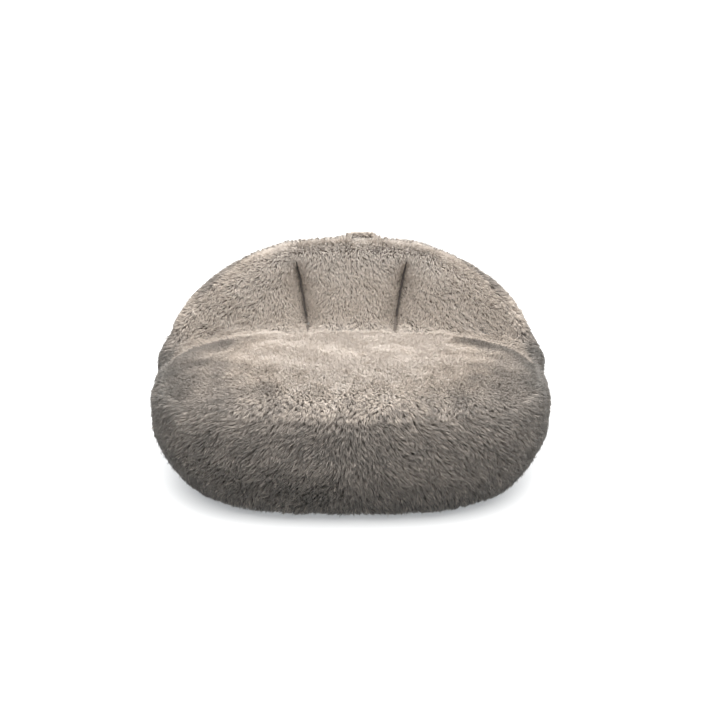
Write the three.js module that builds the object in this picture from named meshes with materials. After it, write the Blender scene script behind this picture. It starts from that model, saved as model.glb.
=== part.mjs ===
// Bean bag chair: a fur cover of sewn panels over a liner bag full of beads.
// Millimetres, +Z up. The sitter faces -Y, the base rests on z = 0, and x = 0 is the plane of symmetry.
import * as THREE from 'three';
import { mergeVertices } from 'three/addons/utils/BufferGeometryUtils.js';

// ---- driving dimensions -------------------------------------------------------------------------
const COVER_T = 17.5;        // pile and backing together
const LINER_OUT = 20.0;      // depth of the liner's outer face
const LINER_IN = 22.4;       // depth of the liner's inner face
const FILL_OUT = 25.8;       // depth of the beads' outer face
const SEAM = 0.2;            // each panel stops this short of its seam line
const Y_SHIFT = -3.25;       // brings the bounding box's centre onto y = 0

// two puffed lobes (centre, half sizes, depth below the widest line, plan exponent, exponents above and below that line)
const SEAT = { c: [0, -5, 170], r: [473, 446, 138], drop: 342, n: 2.9, up: 3.8, low: 1.7, k: 240 };
const BACK = { c: [0, 150, 170], r: [476, 305, 350], drop: 342, n: 2.5, up: 2.1, low: 1.7, k: 340 };
const SEAT_FALL = 20;        // the seat dips this much towards the crease
const SCOOP = { y: -340, rx: 720, ry: 520, lean: 0.14, z: 300, k: 560 };
const CROWN_K = 64;          // roundness of the crown
const CREASE_K = 22, CREASE_END_K = 34;   // roundness of the crease between seat and back: its middle, more at its ends
const BASE_K = 36;           // roundness of the edge on the floor
const DART = { xLow: 115, xHigh: 141, zLow: 300, zHigh: 470, depth: 66, w: 20 };

// where the panels meet
const EDGE = 0.925;          // the seat's edge seam, as a share of the seat's half sizes in plan
const RING = 0.56;           // the base seam, as a share of the same
const CREASE_END = 440, REAR_X = 250, DART_TOP_X = 144;

// zip across the rear wall, on one true arc
const ZIP = { z: 150, half: 14, depth: 12, tape: 1.2, gap: 0.7, tooth: 2.5, toothT: 2.0, end: 236 };

const clamp = (v, a, b) => Math.min(Math.max(v, a), b);
const ease = (v, a, b) => { const t = clamp((v - a) / (b - a), 0, 1); return t * t * (3 - 2 * t); };
const smin = (a, b, k) => { const h = clamp(0.5 + 0.5 * (b - a) / k, 0, 1); return b + (a - b) * h - k * h * (1 - h); };
const smax = (a, b, k) => -smin(-a, -b, k);
const V = (x, y, z) => new THREE.Vector3(x, y, z);

function lobe(L, x, y, z) {
  const qx = Math.abs((x - L.c[0]) / L.r[0]) + 1e-9, qy = Math.abs((y - L.c[1]) / L.r[1]) + 1e-9;
  const dz = z - L.c[2], m = dz > 0 ? L.up : L.low, qz = Math.abs(dz) / (dz > 0 ? L.r[2] : L.drop) + 1e-9;
  const plan = Math.pow(Math.pow(qx, L.n) + Math.pow(qy, L.n), 1 / L.n);
  return (Math.pow(Math.pow(plan, m) + Math.pow(qz, m), 1 / m) - 1) * L.k;
}
// below zero inside the chair; the base plane comes in with `solid`
function body(x, y, z) {
  const seat = lobe(SEAT, x, y, z + SEAT_FALL * ease(y, -200, 200) * ease(z, 138, 260));
  const s = (Math.sqrt((x / SCOOP.rx) ** 2 + ((y - SCOOP.y - (z - SCOOP.z) * SCOOP.lean) / SCOOP.ry) ** 2 + 1e-9) - 1)
    * SCOOP.k;
  const back = smax(lobe(BACK, x, y, z), -s, CROWN_K);
  const t = clamp((z - DART.zLow) / (DART.zHigh - DART.zLow), -1, 2);
  const dx = Math.abs(x) - (DART.xLow + (DART.xHigh - DART.xLow) * t);
  const tall = ease(z, DART.zLow - 55, DART.zLow + 5) * (1 - ease(z, DART.zHigh - 90, DART.zHigh + 8));
  const near = ease(-s, -140, -20) * (1 - ease(-s, 20, 60));
  const cut = DART.depth * tall * near * Math.exp(-Math.sqrt(dx * dx + 16) / DART.w);
  return smin(seat, back, CREASE_K + CREASE_END_K * ease(Math.abs(x), 300, 460) * ease(z, 190, 270)) + cut;
}
const solid = (x, y, z) => smax(body(x, y, z), -z, BASE_K);
function outward(p, f = solid) {
  const h = 0.5;
  return V(f(p.x + h, p.y, p.z) - f(p.x - h, p.y, p.z), f(p.x, p.y + h, p.z) - f(p.x, p.y - h, p.z),
    f(p.x, p.y, p.z + h) - f(p.x, p.y, p.z - h)).normalize();
}
// first point where f turns negative on the way from `from` along `dir`
function hit(from, dir, far = 1200, step = 6, f = solid) {
  const at = (s) => f(from.x + dir.x * s, from.y + dir.y * s, from.z + dir.z * s);
  let a = 0;
  while (a < far && at(a + step) > 0) a += step;
  let lo = a, hi = a + step;
  for (let i = 0; i < 40; i++) { const m = (lo + hi) / 2; if (at(m) > 0) lo = m; else hi = m; }
  return from.clone().addScaledVector(dir, (lo + hi) / 2);
}
const fromTop = (x, y) => hit(V(x, y, 640), V(0, 0, -1));
const fromInside = (p, dir) => {                       // last point inside, seen from an inner point
  const far = p.clone().addScaledVector(dir, 1000);
  return hit(far, dir.clone().negate());
};

// ---- seam lines ---------------------------------------------------------------------------------
const plan = (share, ang) => {                         // rounded-square plan line of the seat lobe
  const c = Math.cos(ang), s = Math.sin(ang), n = SEAT.n;
  const q = Math.pow(Math.pow(Math.abs(c) / SEAT.r[0], n) + Math.pow(Math.abs(s) / SEAT.r[1], n), -1 / n);
  return [share * q * c, SEAT.c[1] + share * q * s];
};
const ridgeY = (x) => {                                // the crown line, seen in plan
  let best = 0, top = -1;
  for (let y = 120; y <= 330; y += 2) { const z = fromTop(x, y).z; if (z > top) { top = z; best = y; } }
  return best;
};
const creaseY = (x) => {
  let best = 0, low = 1e9;
  for (let y = -60; y <= 240; y += 2) { const z = fromTop(x, y).z; if (z < low) { low = z; best = y; } }
  return best;
};
const lerp = (a, b, t) => a + (b - a) * t;
const mix = (p, q, t) => p.clone().lerp(q, t);
// half of the crease and of the crown, from the middle outwards
const DART_X = DART.xLow;
const SIDE_STEPS = [0, 0.1, 0.24, 0.42, 0.62, 0.82, 1];
const MID_STEPS = [0, 0.36, 0.82, 1];
const CREASE_XS = [...MID_STEPS.map((t) => DART_X * t), ...SIDE_STEPS.slice(1).map((t) => lerp(DART_X, CREASE_END, t))];
const CROWN_XS = [...MID_STEPS.map((t) => DART_TOP_X * t), ...SIDE_STEPS.slice(1).map((t) => lerp(DART_TOP_X, REAR_X, t))];
const endY = 2;
const creaseHalf = CREASE_XS.map((x) => {
  const y = x > 395 ? endY : creaseY(x);
  return [x, y];
});
// the crease runs smoothly out to its end
{
  const a = creaseHalf[7], n = creaseHalf.length - 1;
  for (let i = 8; i <= n; i++) {
    const t = (creaseHalf[i][0] - a[0]) / (CREASE_END - a[0]);
    creaseHalf[i][1] = lerp(a[1], endY, t * t * 0.6 + t * 0.4);
  }
}
const crownHalf = CROWN_XS.map((x) => [x, ridgeY(x) + 16]);
const both = (half) => [...half.slice(1).reverse().map(([x, y]) => [-x, y]), ...half];
const crease = both(creaseHalf).map(([x, y]) => fromTop(x, y));
const crown = both(crownHalf).map(([x, y]) => fromTop(x, y));
const N_ACROSS = crease.length - 1;                    // 18 columns from left to right

// seat edge: front corners at about 45 degrees, then back to the crease's ends
const CORNER = (226 * Math.PI) / 180;
const frontEdge = [];
for (let i = 0; i <= N_ACROSS; i++) {
  const ang = lerp(CORNER, 3 * Math.PI - CORNER, i / N_ACROSS);
  const [x, y] = plan(EDGE, ang);
  frontEdge.push(fromTop(x, y));
}
const N_SEAT = 8, N_BACK = 8;
const cornerL = frontEdge[0];
const seatLeft = [];                                   // front corner to crease end
{
  const [cx, cy] = [cornerL.x, cornerL.y];
  const a0 = Math.atan2(cy - SEAT.c[1], cx), a1 = Math.atan2(crease[0].y - SEAT.c[1], crease[0].x);
  for (let j = 0; j <= N_SEAT; j++) {
    const ang = lerp(a0, a1 - (a1 > a0 ? 2 * Math.PI : 0), j / N_SEAT);
    const [x, y] = plan(EDGE, ang);
    seatLeft.push(j === N_SEAT ? crease[0].clone() : j === 0 ? cornerL.clone() : fromTop(x, y));
  }
}
const shoulderLeft = [];                               // crease end up to the rear corner of the crown
for (let j = 0; j <= N_BACK; j++) {
  const t = j / N_BACK;
  const x = lerp(crease[0].x, crown[0].x, Math.pow(t, 1.35));
  const y = lerp(crease[0].y, crown[0].y, Math.pow(t, 0.72));
  shoulderLeft.push(j === 0 ? crease[0].clone() : j === N_BACK ? crown[0].clone() : fromTop(x, y));
}
const flip = (p) => V(-p.x, p.y, p.z);
const seatRight = seatLeft.map(flip), shoulderRight = shoulderLeft.map(flip);

// ---- grids of surface points --------------------------------------------------------------------
// seat: columns left to right, rows from the front edge to the crease
const seatGrid = [];
for (let i = 0; i <= N_ACROSS; i++) {
  const u = i / N_ACROSS, col = [];
  for (let j = 0; j <= N_SEAT; j++) {
    const v = j / N_SEAT;
    if (i === 0) { col.push(seatLeft[j]); continue; }
    if (i === N_ACROSS) { col.push(seatRight[j]); continue; }
    if (j === 0) { col.push(frontEdge[i]); continue; }
    if (j === N_SEAT) { col.push(crease[i]); continue; }
    const w = Math.pow(v, 0.9);
    const across = mix(seatLeft[j], seatRight[j], u);
    const along = mix(frontEdge[i], crease[i], w);
    const corners = mix(mix(seatLeft[0], seatRight[0], u), mix(seatLeft[N_SEAT], seatRight[N_SEAT], u), w);
    const p = across.add(along).sub(corners);
    col.push(fromTop(p.x, Math.min(p.y, lerp(frontEdge[i].y, crease[i].y, w) + 400)));
  }
  seatGrid.push(col);
}
// back: columns left to right, rows from the crease up to the crown
const settle = (q) => {                                // nearest-ish point of the skin
  const p = q.clone(), h = 0.5;
  for (let k = 0; k < 60; k++) {
    const f = solid(p.x, p.y, p.z);
    const g = V(solid(p.x + h, p.y, p.z) - solid(p.x - h, p.y, p.z), solid(p.x, p.y + h, p.z) - solid(p.x, p.y - h, p.z),
      solid(p.x, p.y, p.z + h) - solid(p.x, p.y, p.z - h)).multiplyScalar(1 / (2 * h));
    p.addScaledVector(g, -0.8 * f / Math.max(g.lengthSq(), 0.05));
  }
  return p;
};
const dartX = (z) => DART.xLow + (DART.xHigh - DART.xLow) * clamp((z - DART.zLow) / (DART.zHigh - DART.zLow), -1, 2);
const RISE = [0, 0.13, 0.27, 0.41, 0.55, 0.69, 0.82, 0.92, 1];
const dartLine = RISE.map((r, j) => {                  // the bottom of the right dart, from crease to crown
  const a = crease[12], b = crown[12];
  if (j === 0) return a;
  if (j === N_BACK) return b;
  const z = lerp(a.z, b.z, r);
  return hit(V(dartX(z), a.y - 10, z), V(0, 1, 0), 400, 2);
});
const coons = (lo, hi, left, right, us, vs) => {       // four borders to a grid of points
  const nu = lo.length - 1, nv = left.length - 1, out = [];
  for (let i = 0; i <= nu; i++) {
    const col = [];
    for (let j = 0; j <= nv; j++) {
      if (i === 0) col.push(left[j]);
      else if (i === nu) col.push(right[j]);
      else if (j === 0) col.push(lo[i]);
      else if (j === nv) col.push(hi[i]);
      else {
        const u = us[i], v = vs[j];
        const p = mix(left[j], right[j], u).add(mix(lo[i], hi[i], v))
          .sub(mix(mix(left[0], right[0], u), mix(left[nv], right[nv], u), v));
        col.push(settle(p));
      }
    }
    out.push(col);
  }
  return out;
};
const mids = [...MID_STEPS.slice(1).reverse().map((t) => (1 - t) / 2), ...MID_STEPS.map((t) => (1 + t) / 2)];
const backRight = coons(crease.slice(12), crown.slice(12), dartLine, shoulderRight, SIDE_STEPS, RISE);
const backMid = coons(crease.slice(6, 13), crown.slice(6, 13), dartLine.map(flip), dartLine, mids, RISE);
const backLeft = [...backRight].reverse().map((col) => col.map(flip));
const backGrid = [...backLeft, ...backMid.slice(1), ...backRight.slice(1)];

// walls: one closed ring of columns, each running from the top seam down to the base seam
const topRing = [];                                    // starts at the front-left corner, runs to the right
for (let i = 0; i < N_ACROSS; i++) topRing.push(frontEdge[i]);
for (let j = 0; j < N_SEAT; j++) topRing.push(seatRight[j]);
for (let j = 0; j < N_BACK; j++) topRing.push(shoulderRight[j]);
for (let i = N_ACROSS; i > 0; i--) topRing.push(crown[i]);
for (let j = N_BACK; j > 0; j--) topRing.push(shoulderLeft[j]);
for (let j = N_SEAT; j > 0; j--) topRing.push(seatLeft[j]);
const N_RING = topRing.length;
const ringAt = { front: 0, right: N_ACROSS, rear: N_ACROSS + N_SEAT + N_BACK };
ringAt.left = ringAt.rear + N_ACROSS;
const onBase = (p, i) => {
  const rear = i >= ringAt.rear && i <= ringAt.left;
  const yMid = rear ? 30 : -5;
  let ang = Math.atan2(p.y - yMid, p.x);
  if (rear) {                                          // rear columns drop nearly straight down
    const x = p.x * 0.96;
    const cs = Math.cos(ang), sn = Math.sin(ang);
    let a0 = Math.PI / 2 - 1.2, a1 = Math.PI / 2 + 1.2;
    for (let k = 0; k < 50; k++) { const m = (a0 + a1) / 2; if (plan(RING, m)[0] > x * RING / 0.66) a0 = m; else a1 = m; }
    ang = (a0 + a1) / 2;
  }
  const [x, y] = plan(RING, ang);
  return V(x, y + 14, 0);
};
const baseRing = topRing.map(onBase);
const W_ROWS = 9;
const wallCol = (i) => {
  const T = topRing[i], B = baseRing[i];
  const rear = i >= ringAt.rear && i <= ringAt.left;
  const I = rear ? V(T.x * 0.8, 190, 150) : V(T.x * 0.55, T.y * 0.55 + 20, 140);
  const a = T.clone().sub(I).normalize(), b = B.clone().sub(I).normalize();
  const full = a.angleTo(b), axis = a.clone().cross(b).normalize();
  const at = (s) => fromInside(I, a.clone().applyAxisAngle(axis, full * s));
  const col = [T];
  if (rear) {                                          // two edges either side of the zip
    const level = (z) => {
      let lo = 0, hi = 1;
      for (let k = 0; k < 40; k++) { const m = (lo + hi) / 2; if (at(m).z > z) lo = m; else hi = m; }
      return (lo + hi) / 2;
    };
    const sewn = i < ringAt.rear + 2 || i > ringAt.left - 2;   // beyond the zip's ends the two panels meet
    const gape = sewn ? 0.3 : ZIP.half;
    const sU = level(ZIP.z + gape), sL = level(ZIP.z - gape);
    const upper = [0.2, 0.4, 0.6, 0.8, 1].map((t) => at(sU * t));
    const lower = [0, 0.34, 0.68].map((t) => at(lerp(sL, 1, t)));
    return { upper: [T, ...upper], lower: [...lower, B], all: [T, ...upper, ...lower, B] };
  }
  for (let j = 1; j < W_ROWS; j++) col.push(at(j / W_ROWS));
  col.push(B);
  return { all: col };
};
const wallCols = topRing.map((_, i) => wallCol(i));
// ---- turning grids into closed sheets -----------------------------------------------------------
const normalCache = new Map();
function normalAt(p) {
  const key = `${p.x.toFixed(3)} ${p.y.toFixed(3)} ${p.z.toFixed(3)}`;
  if (!normalCache.has(key)) {
    let n = p.z < 1e-6 ? V(0, 0, -1) : outward(p);
    if (p.z < 1 && n.z < -0.9) n = V(0, 0, -1);
    normalCache.set(key, n);
  }
  return normalCache.get(key);
}
const sink = (p, t) => p.clone().addScaledVector(normalAt(p), -t);
function closed(geometry) {
  geometry.deleteAttribute('normal');
  geometry.deleteAttribute('uv');
  const g = mergeVertices(geometry, 1e-4);
  const p = g.getAttribute('position'), ix = g.index.array;
  let vol = 0;
  const a = V(), b = V(), c = V();
  for (let i = 0; i < ix.length; i += 3) {
    a.fromBufferAttribute(p, ix[i]); b.fromBufferAttribute(p, ix[i + 1]); c.fromBufferAttribute(p, ix[i + 2]);
    vol += a.dot(b.cross(c));
  }
  if (vol < 0) for (let i = 0; i < ix.length; i += 3) { const s = ix[i]; ix[i] = ix[i + 1]; ix[i + 1] = s; }
  g.computeVertexNormals();
  return g;
}
// every layer cuts its four-sided cells along the same diagonal, so nested layers stay apart
function sameDiagonals(geometry, cell) {
  const ix = geometry.index.array, pos = geometry.getAttribute('position');
  const key = (k) => pos.getX(k) + 1.7 * pos.getY(k) + 2.3 * pos.getZ(k);
  for (let q = 0; q < ix.length; q += 6) {
    const quad = [ix[q], ix[q + 1], ix[q + 4], ix[q + 2]];
    const c = cell(quad);
    let first;
    if (c.face) {                                      // from the lowest corner of the cell
      let best = Infinity;
      quad.forEach((k, m) => { if (c.sum[m] < best) { best = c.sum[m]; first = m; } });
    } else {                                           // from the lower of the two outer corners
      let best = Infinity;
      quad.forEach((k, m) => { if (c.outer[m] && key(k) < best) { best = key(k); first = m; } });
    }
    const [a, b, d, e] = [0, 1, 2, 3].map((m) => quad[(first + m) % 4]);
    ix.set([a, b, d, a, d, e], q);
  }
}
// a box whose vertices are laid on a grid of surface points: outer face at depth t0, inner face at depth t1
function sheet(grid, t0, t1, seam = SEAM) {
  const nu = grid.length - 1, nv = grid[0].length - 1;
  const box = new THREE.BoxGeometry(1, 1, 1, nu, nv, 1), pos = box.getAttribute('position');
  const layer = (t) => grid.map((col) => col.map((p) => sink(p, t)));
  const layers = [layer(t1), layer(t0)];
  for (const L of layers) {                            // pull the four edges in from the seam lines
    const pull = (p, q) => p.add(q.clone().sub(p).setLength(seam));
    for (let j = 0; j <= nv; j++) { pull(L[0][j], L[1][j]); pull(L[nu][j], L[nu - 1][j]); }
    for (let i = 0; i <= nu; i++) { pull(L[i][0], L[i][1]); pull(L[i][nv], L[i][nv - 1]); }
  }
  const tag = [];
  for (let k = 0; k < pos.count; k++) {
    const i = Math.round((pos.getX(k) + 0.5) * nu), j = Math.round((pos.getY(k) + 0.5) * nv);
    const top = pos.getZ(k) > 0 ? 1 : 0, p = layers[top][i][j];
    tag.push([i + j, top]);
    pos.setXYZ(k, p.x, p.y, p.z);
  }
  sameDiagonals(box, (quad) => ({
    face: quad.every((k) => tag[k][1] === tag[quad[0]][1]),
    sum: quad.map((k) => tag[k][0]), outer: quad.map((k) => tag[k][1]),
  }));
  return closed(box);
}
const cols = (from, to) => {
  const out = [];
  for (let i = from; i <= to; i++) out.push(wallCols[i % N_RING].all);
  return out;
};

const group = new THREE.Group();
group.name = 'bean_bag_chair';
const fabric = (hex, roughness = 0.95) => new THREE.MeshStandardMaterial({ color: hex, roughness, metalness: 0 });
function add(name, geometry, material) {
  geometry.translate(0, Y_SHIFT, 0);
  material.name = name;
  const mesh = new THREE.Mesh(geometry, material);
  mesh.name = name;
  group.add(mesh);
  return mesh;
}
const FUR = 0xb8a898, FUR_DARK = 0x8f857b;

// ---- the cover ----------------------------------------------------------------------------------
add('seat_panel', sheet(seatGrid, 0, COVER_T), fabric(0xc8bbad));
add('back_left_panel', sheet(backGrid.slice(0, 7), 0, COVER_T), fabric(FUR));
add('back_centre_panel', sheet(backGrid.slice(6, 13), 0, COVER_T), fabric(FUR));
add('back_right_panel', sheet(backGrid.slice(12), 0, COVER_T), fabric(FUR));
add('front_wall_panel', sheet(cols(0, ringAt.right), 0, COVER_T), fabric(FUR_DARK));
add('right_wall_panel', sheet(cols(ringAt.right, ringAt.rear), 0, COVER_T), fabric(FUR_DARK));
add('left_wall_panel', sheet(cols(ringAt.left, N_RING), 0, COVER_T), fabric(FUR_DARK));
const rear = wallCols.slice(ringAt.rear, ringAt.left + 1);
add('rear_upper_panel', sheet(rear.map((c) => c.upper), 0, COVER_T), fabric(FUR_DARK));
add('rear_lower_panel', sheet(rear.map((c) => c.lower), 0, COVER_T), fabric(FUR_DARK));
const slab = (ring, z0, z1, inset) => {
  const mid = ring.reduce((s, p) => s.add(p), V(0, 0, 0)).multiplyScalar(1 / ring.length);
  const pts = ring.map((p) => {
    const d = V(p.x - mid.x, p.y - mid.y, 0), r = d.length();
    return new THREE.Vector2(mid.x + d.x * (1 - inset / r), mid.y + d.y * (1 - inset / r));
  });
  const g = new THREE.ExtrudeGeometry(new THREE.Shape(pts), { depth: z1 - z0, bevelEnabled: false });
  g.translate(0, 0, z0);
  return closed(g);
};
add('base_panel', slab(baseRing, 0, COVER_T, 0.4), fabric(0x5d5650));

// ---- the liner bag and the beads in it ----------------------------------------------------------
const topGrid = seatGrid.map((col, i) => [...col, ...backGrid[i].slice(1)]);
add('liner_top', sheet(topGrid, LINER_OUT, LINER_IN), fabric(0xe9e6df, 0.8));
const skirt = (t0, t1) => {                            // closed band all round, a torus with a flat section
  const loop = [];                                     // around the section: outer face down, inner face up
  for (let k = 0; k <= W_ROWS; k++) loop.push([k, t0]);
  for (let k = W_ROWS; k >= 0; k--) loop.push([k, t1]);
  const torus = new THREE.TorusGeometry(10, 3, loop.length, N_RING);
  const pos = torus.getAttribute('position'), per = N_RING + 1, tag = [];
  for (let q = 0; q < pos.count; q++) {
    const section = Math.floor(q / per) % loop.length, along = q % per;
    const [row, t] = loop[section], col = wallCols[along % N_RING].all;
    const p = sink(col[row], t);
    const edge = row === 0 ? sink(col[1], t) : row === W_ROWS ? sink(col[W_ROWS - 1], t) : null;
    if (edge) p.add(edge.sub(p).setLength(SEAM));
    tag.push([along + row, t === t0 ? 1 : 0]);
    pos.setXYZ(q, p.x, p.y, p.z);
  }
  sameDiagonals(torus, (quad) => ({
    face: quad.every((k) => tag[k][1] === tag[quad[0]][1]),
    sum: quad.map((k) => tag[k][0]), outer: quad.map((k) => tag[k][1]),
  }));
  return closed(torus);
};
add('liner_wall', skirt(LINER_OUT, LINER_IN), fabric(0xe9e6df, 0.8));
add('liner_base', slab(baseRing, LINER_OUT, LINER_IN, 0.4), fabric(0xe9e6df, 0.8));

// beads: a box whose top is the seat and back, whose sides are the walls and whose bottom is flat
{
  const rows = N_SEAT + N_BACK;
  const box = new THREE.BoxGeometry(1, 1, 1, N_ACROSS, rows, W_ROWS), pos = box.getAttribute('position');
  const ringIndex = (i, j) => {                        // border cell (i, j) of the top grid to its column of the ring
    if (j === 0) return i;
    if (i === N_ACROSS) return N_ACROSS + j;
    if (j === rows) return ringAt.rear + (N_ACROSS - i);
    return ringAt.left + (rows - j);
  };
  const R = (a, b) => baseRing[ringIndex(a, b) % N_RING];
  const tag = [];
  for (let k = 0; k < pos.count; k++) {
    const i = Math.round((pos.getX(k) + 0.5) * N_ACROSS), j = Math.round((pos.getY(k) + 0.5) * rows);
    const down = W_ROWS - Math.round((pos.getZ(k) + 0.5) * W_ROWS);
    const border = i === 0 || j === 0 || i === N_ACROSS || j === rows;
    let p;
    if (down === 0) p = sink(topGrid[i][j], FILL_OUT);
    else if (border) p = sink(wallCols[ringIndex(i, j) % N_RING].all[down], FILL_OUT);
    else {
      const u = i / N_ACROSS, v = j / rows;
      p = mix(R(0, j), R(N_ACROSS, j), u).add(mix(R(i, 0), R(i, rows), v))
        .sub(mix(mix(R(0, 0), R(N_ACROSS, 0), u), mix(R(0, rows), R(N_ACROSS, rows), u), v));
      p.z = FILL_OUT;
    }
    tag.push({ ring: border ? ringIndex(i, j) : -1, down, top: i + j });
    pos.setXYZ(k, p.x, p.y, p.z);
  }
  sameDiagonals(box, (quad) => {
    const t = quad.map((k) => tag[k]);
    const side = t.every((q) => q.ring >= 0) && t.some((q) => q.down !== t[0].down);
    if (!side) return { face: true, sum: t.map((q) => q.top) };
    const far = Math.max(...t.map((q) => q.ring));
    return { face: true, sum: t.map((q) => (far - q.ring > 1 ? q.ring + N_RING : q.ring) + q.down) };
  });
  add('bead_fill', closed(box), fabric(0xf4f3ef, 0.6));
}

// ---- stitching that holds the two darts shut ----------------------------------------------------
for (const [name, i] of [['left_dart_stitching', 6], ['right_dart_stitching', 12]]) {
  const pts = backGrid[i].slice(1, 7).map((p) => {
    const n = outward(p);
    return p.clone().addScaledVector(n, 5.0);
  });
  const tube = new THREE.TubeGeometry(new THREE.CatmullRomCurve3(pts), 14, 1.2, 6, false);
  // close both ends with a fan
  const g = tube.toNonIndexed();
  const src = g.getAttribute('position'), extra = [];
  const curve = new THREE.CatmullRomCurve3(pts);
  const tp = tube.getAttribute('position');
  for (const [ring, centre] of [[0, curve.getPoint(0)], [14, curve.getPoint(1)]]) {
    for (let k = 0; k < 6; k++) {
      const a = V().fromBufferAttribute(tp, ring * 7 + k), b = V().fromBufferAttribute(tp, ring * 7 + ((k + 1) % 6));
      const tri = ring === 0 ? [centre, a, b] : [centre, b, a];
      for (const p of tri) extra.push(p.x, p.y, p.z);
    }
  }
  const all = new THREE.BufferGeometry();
  all.setAttribute('position', new THREE.Float32BufferAttribute([...src.array, ...extra], 3));
  const merged = mergeVertices(all, 1e-3);
  merged.computeVertexNormals();
  add(name, merged, fabric(0x4b443d, 0.8));
}

// ---- carry handle over the crown ----------------------------------------------------------------
const HANDLE = { x: 25, w: 58, t: 9, rise: 10, front: 262 };
{
  const a = fromTop(0, HANDLE.front), b = hit(V(0, 900, 432), V(0, -1, 0));
  const path = [];
  const lift = (p, h) => p.clone().addScaledVector(outward(p), h);
  // pad, arch over the crown, pad
  const a2 = fromTop(0, HANDLE.front + 20), b2 = hit(V(0, 900, 455), V(0, -1, 0));
  path.push(lift(a, 1.2), lift(a2, 1.4));
  for (const [t, h] of [[0.25, 6.5], [0.5, HANDLE.rise], [0.75, 7.5]]) {
    const ang = lerp(0, 1, t);
    const y = lerp(a2.y, b2.y, ang);
    path.push(lift(fromTop(0, Math.min(y, 380)), h));
  }
  path.push(lift(b2, 1.4), lift(b, 1.2));
  const curve = new THREE.CatmullRomCurve3(path, false, 'centripetal');
  const n = 16, box = new THREE.BoxGeometry(1, 1, 1, 2, n, 1), pos = box.getAttribute('position');
  for (let k = 0; k < pos.count; k++) {
    const t = pos.getY(k) + 0.5, p = curve.getPointAt(t), tan = curve.getTangentAt(t);
    const up = V(0, -tan.z, tan.y);                    // across the strap's thickness, in the y-z plane
    if (up.z < 0 && t < 0.4) up.negate();
    const q = p.addScaledVector(up, pos.getZ(k) > 0 ? HANDLE.t : 0);
    pos.setXYZ(k, HANDLE.x + pos.getX(k) * HANDLE.w, q.y, q.z);
  }
  add('carry_handle', closed(box), fabric(FUR));
  for (const [name, t0, t1] of [['handle_front_stitching', 0.015, 0.12], ['handle_rear_stitching', 0.88, 0.985]]) {
    const outer = new THREE.Shape([[-20, 0], [20, 0], [20, 1], [-20, 1]].map(([x, y]) => new THREE.Vector2(x, y)));
    const holes = new THREE.Path([[-17, 0.14], [-17, 0.86], [17, 0.86], [17, 0.14]].map(([x, y]) => new THREE.Vector2(x, y)));
    outer.holes.push(holes);
    const g = new THREE.ExtrudeGeometry(outer, { depth: 1.2, bevelEnabled: false });
    const gp = g.getAttribute('position');
    for (let k = 0; k < gp.count; k++) {
      const t = lerp(t0, t1, gp.getY(k)), p = curve.getPointAt(t), tan = curve.getTangentAt(t);
      const up = V(0, -tan.z, tan.y);
      if (up.z < 0 && t < 0.4) up.negate();
      p.addScaledVector(up, HANDLE.t + 0.4 + gp.getZ(k));
      gp.setXYZ(k, HANDLE.x + gp.getX(k), p.y, p.z);
    }
    add(name, closed(g), fabric(0x6a6057, 0.8));
  }
}

// ---- zip ----------------------------------------------------------------------------------------
// the wall's own arc at the zip's height gives the radius; every zip piece is concentric with it
const zipMid = hit(V(0, 900, ZIP.z), V(0, -1, 0)), zipEnd = hit(V(ZIP.end, 900, ZIP.z), V(0, -1, 0));
const drop = zipMid.y - zipEnd.y;
const R_WALL = (ZIP.end ** 2 + drop ** 2) / (2 * drop);
const ZIP_AXIS_Y = zipMid.y - R_WALL;           // the arc's axis is upright through (0, ZIP_AXIS_Y)
const R_TAPE = R_WALL - ZIP.depth;                     // the tape's outer face
const halfAngle = Math.asin(ZIP.end / R_WALL);
const polar = (r, a, z) => V(Math.sin(a) * r, ZIP_AXIS_Y + Math.cos(a) * r, z);
function arcBar(r0, r1, z0, z1, a0, a1, n = 20) {      // a bar bent along the arc
  const box = new THREE.BoxGeometry(1, 1, 1, n, 1, 1), pos = box.getAttribute('position');
  for (let k = 0; k < pos.count; k++) {
    const a = lerp(a0, a1, pos.getX(k) + 0.5);
    const p = polar(pos.getZ(k) > 0 ? r1 : r0, a, pos.getY(k) > 0 ? z1 : z0);
    pos.setXYZ(k, p.x, p.y, p.z);
  }
  return closed(box);
}
const tapeEdge = ZIP.half - 3.4;
const tapeMat = () => fabric(0x3f3a36, 0.85);
add('zip_tape_upper', arcBar(R_TAPE - ZIP.tape, R_TAPE, ZIP.z + ZIP.gap, ZIP.z + tapeEdge, -halfAngle, halfAngle), tapeMat());
add('zip_tape_lower', arcBar(R_TAPE - ZIP.tape, R_TAPE, ZIP.z - tapeEdge, ZIP.z - ZIP.gap, -halfAngle, halfAngle), tapeMat());
const toothMat = () => new THREE.MeshStandardMaterial({ color: 0x2f2b28, roughness: 0.45, metalness: 0 });
const tA = halfAngle - 10 / R_TAPE;
const t0r = R_TAPE + 0.2, t1r = t0r + ZIP.toothT;
add('zip_teeth_upper', arcBar(t0r, t1r, ZIP.z + ZIP.gap, ZIP.z + ZIP.gap + ZIP.tooth, -tA, tA), toothMat());
add('zip_teeth_lower', arcBar(t0r, t1r, ZIP.z - ZIP.gap - ZIP.tooth, ZIP.z - ZIP.gap, -tA, tA), toothMat());
const stopMat = () => new THREE.MeshStandardMaterial({ color: 0x9a958c, roughness: 0.35, metalness: 1 });
for (const [name, s] of [['zip_stop_closed', 1], ['zip_stop_open', -1]]) {
  add(name, arcBar(t0r, t1r + 0.5, ZIP.z - 3.6, ZIP.z + 3.6, s * (tA + 0.6 / R_TAPE), s * (tA + 5 / R_TAPE), 2), stopMat());
}
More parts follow.
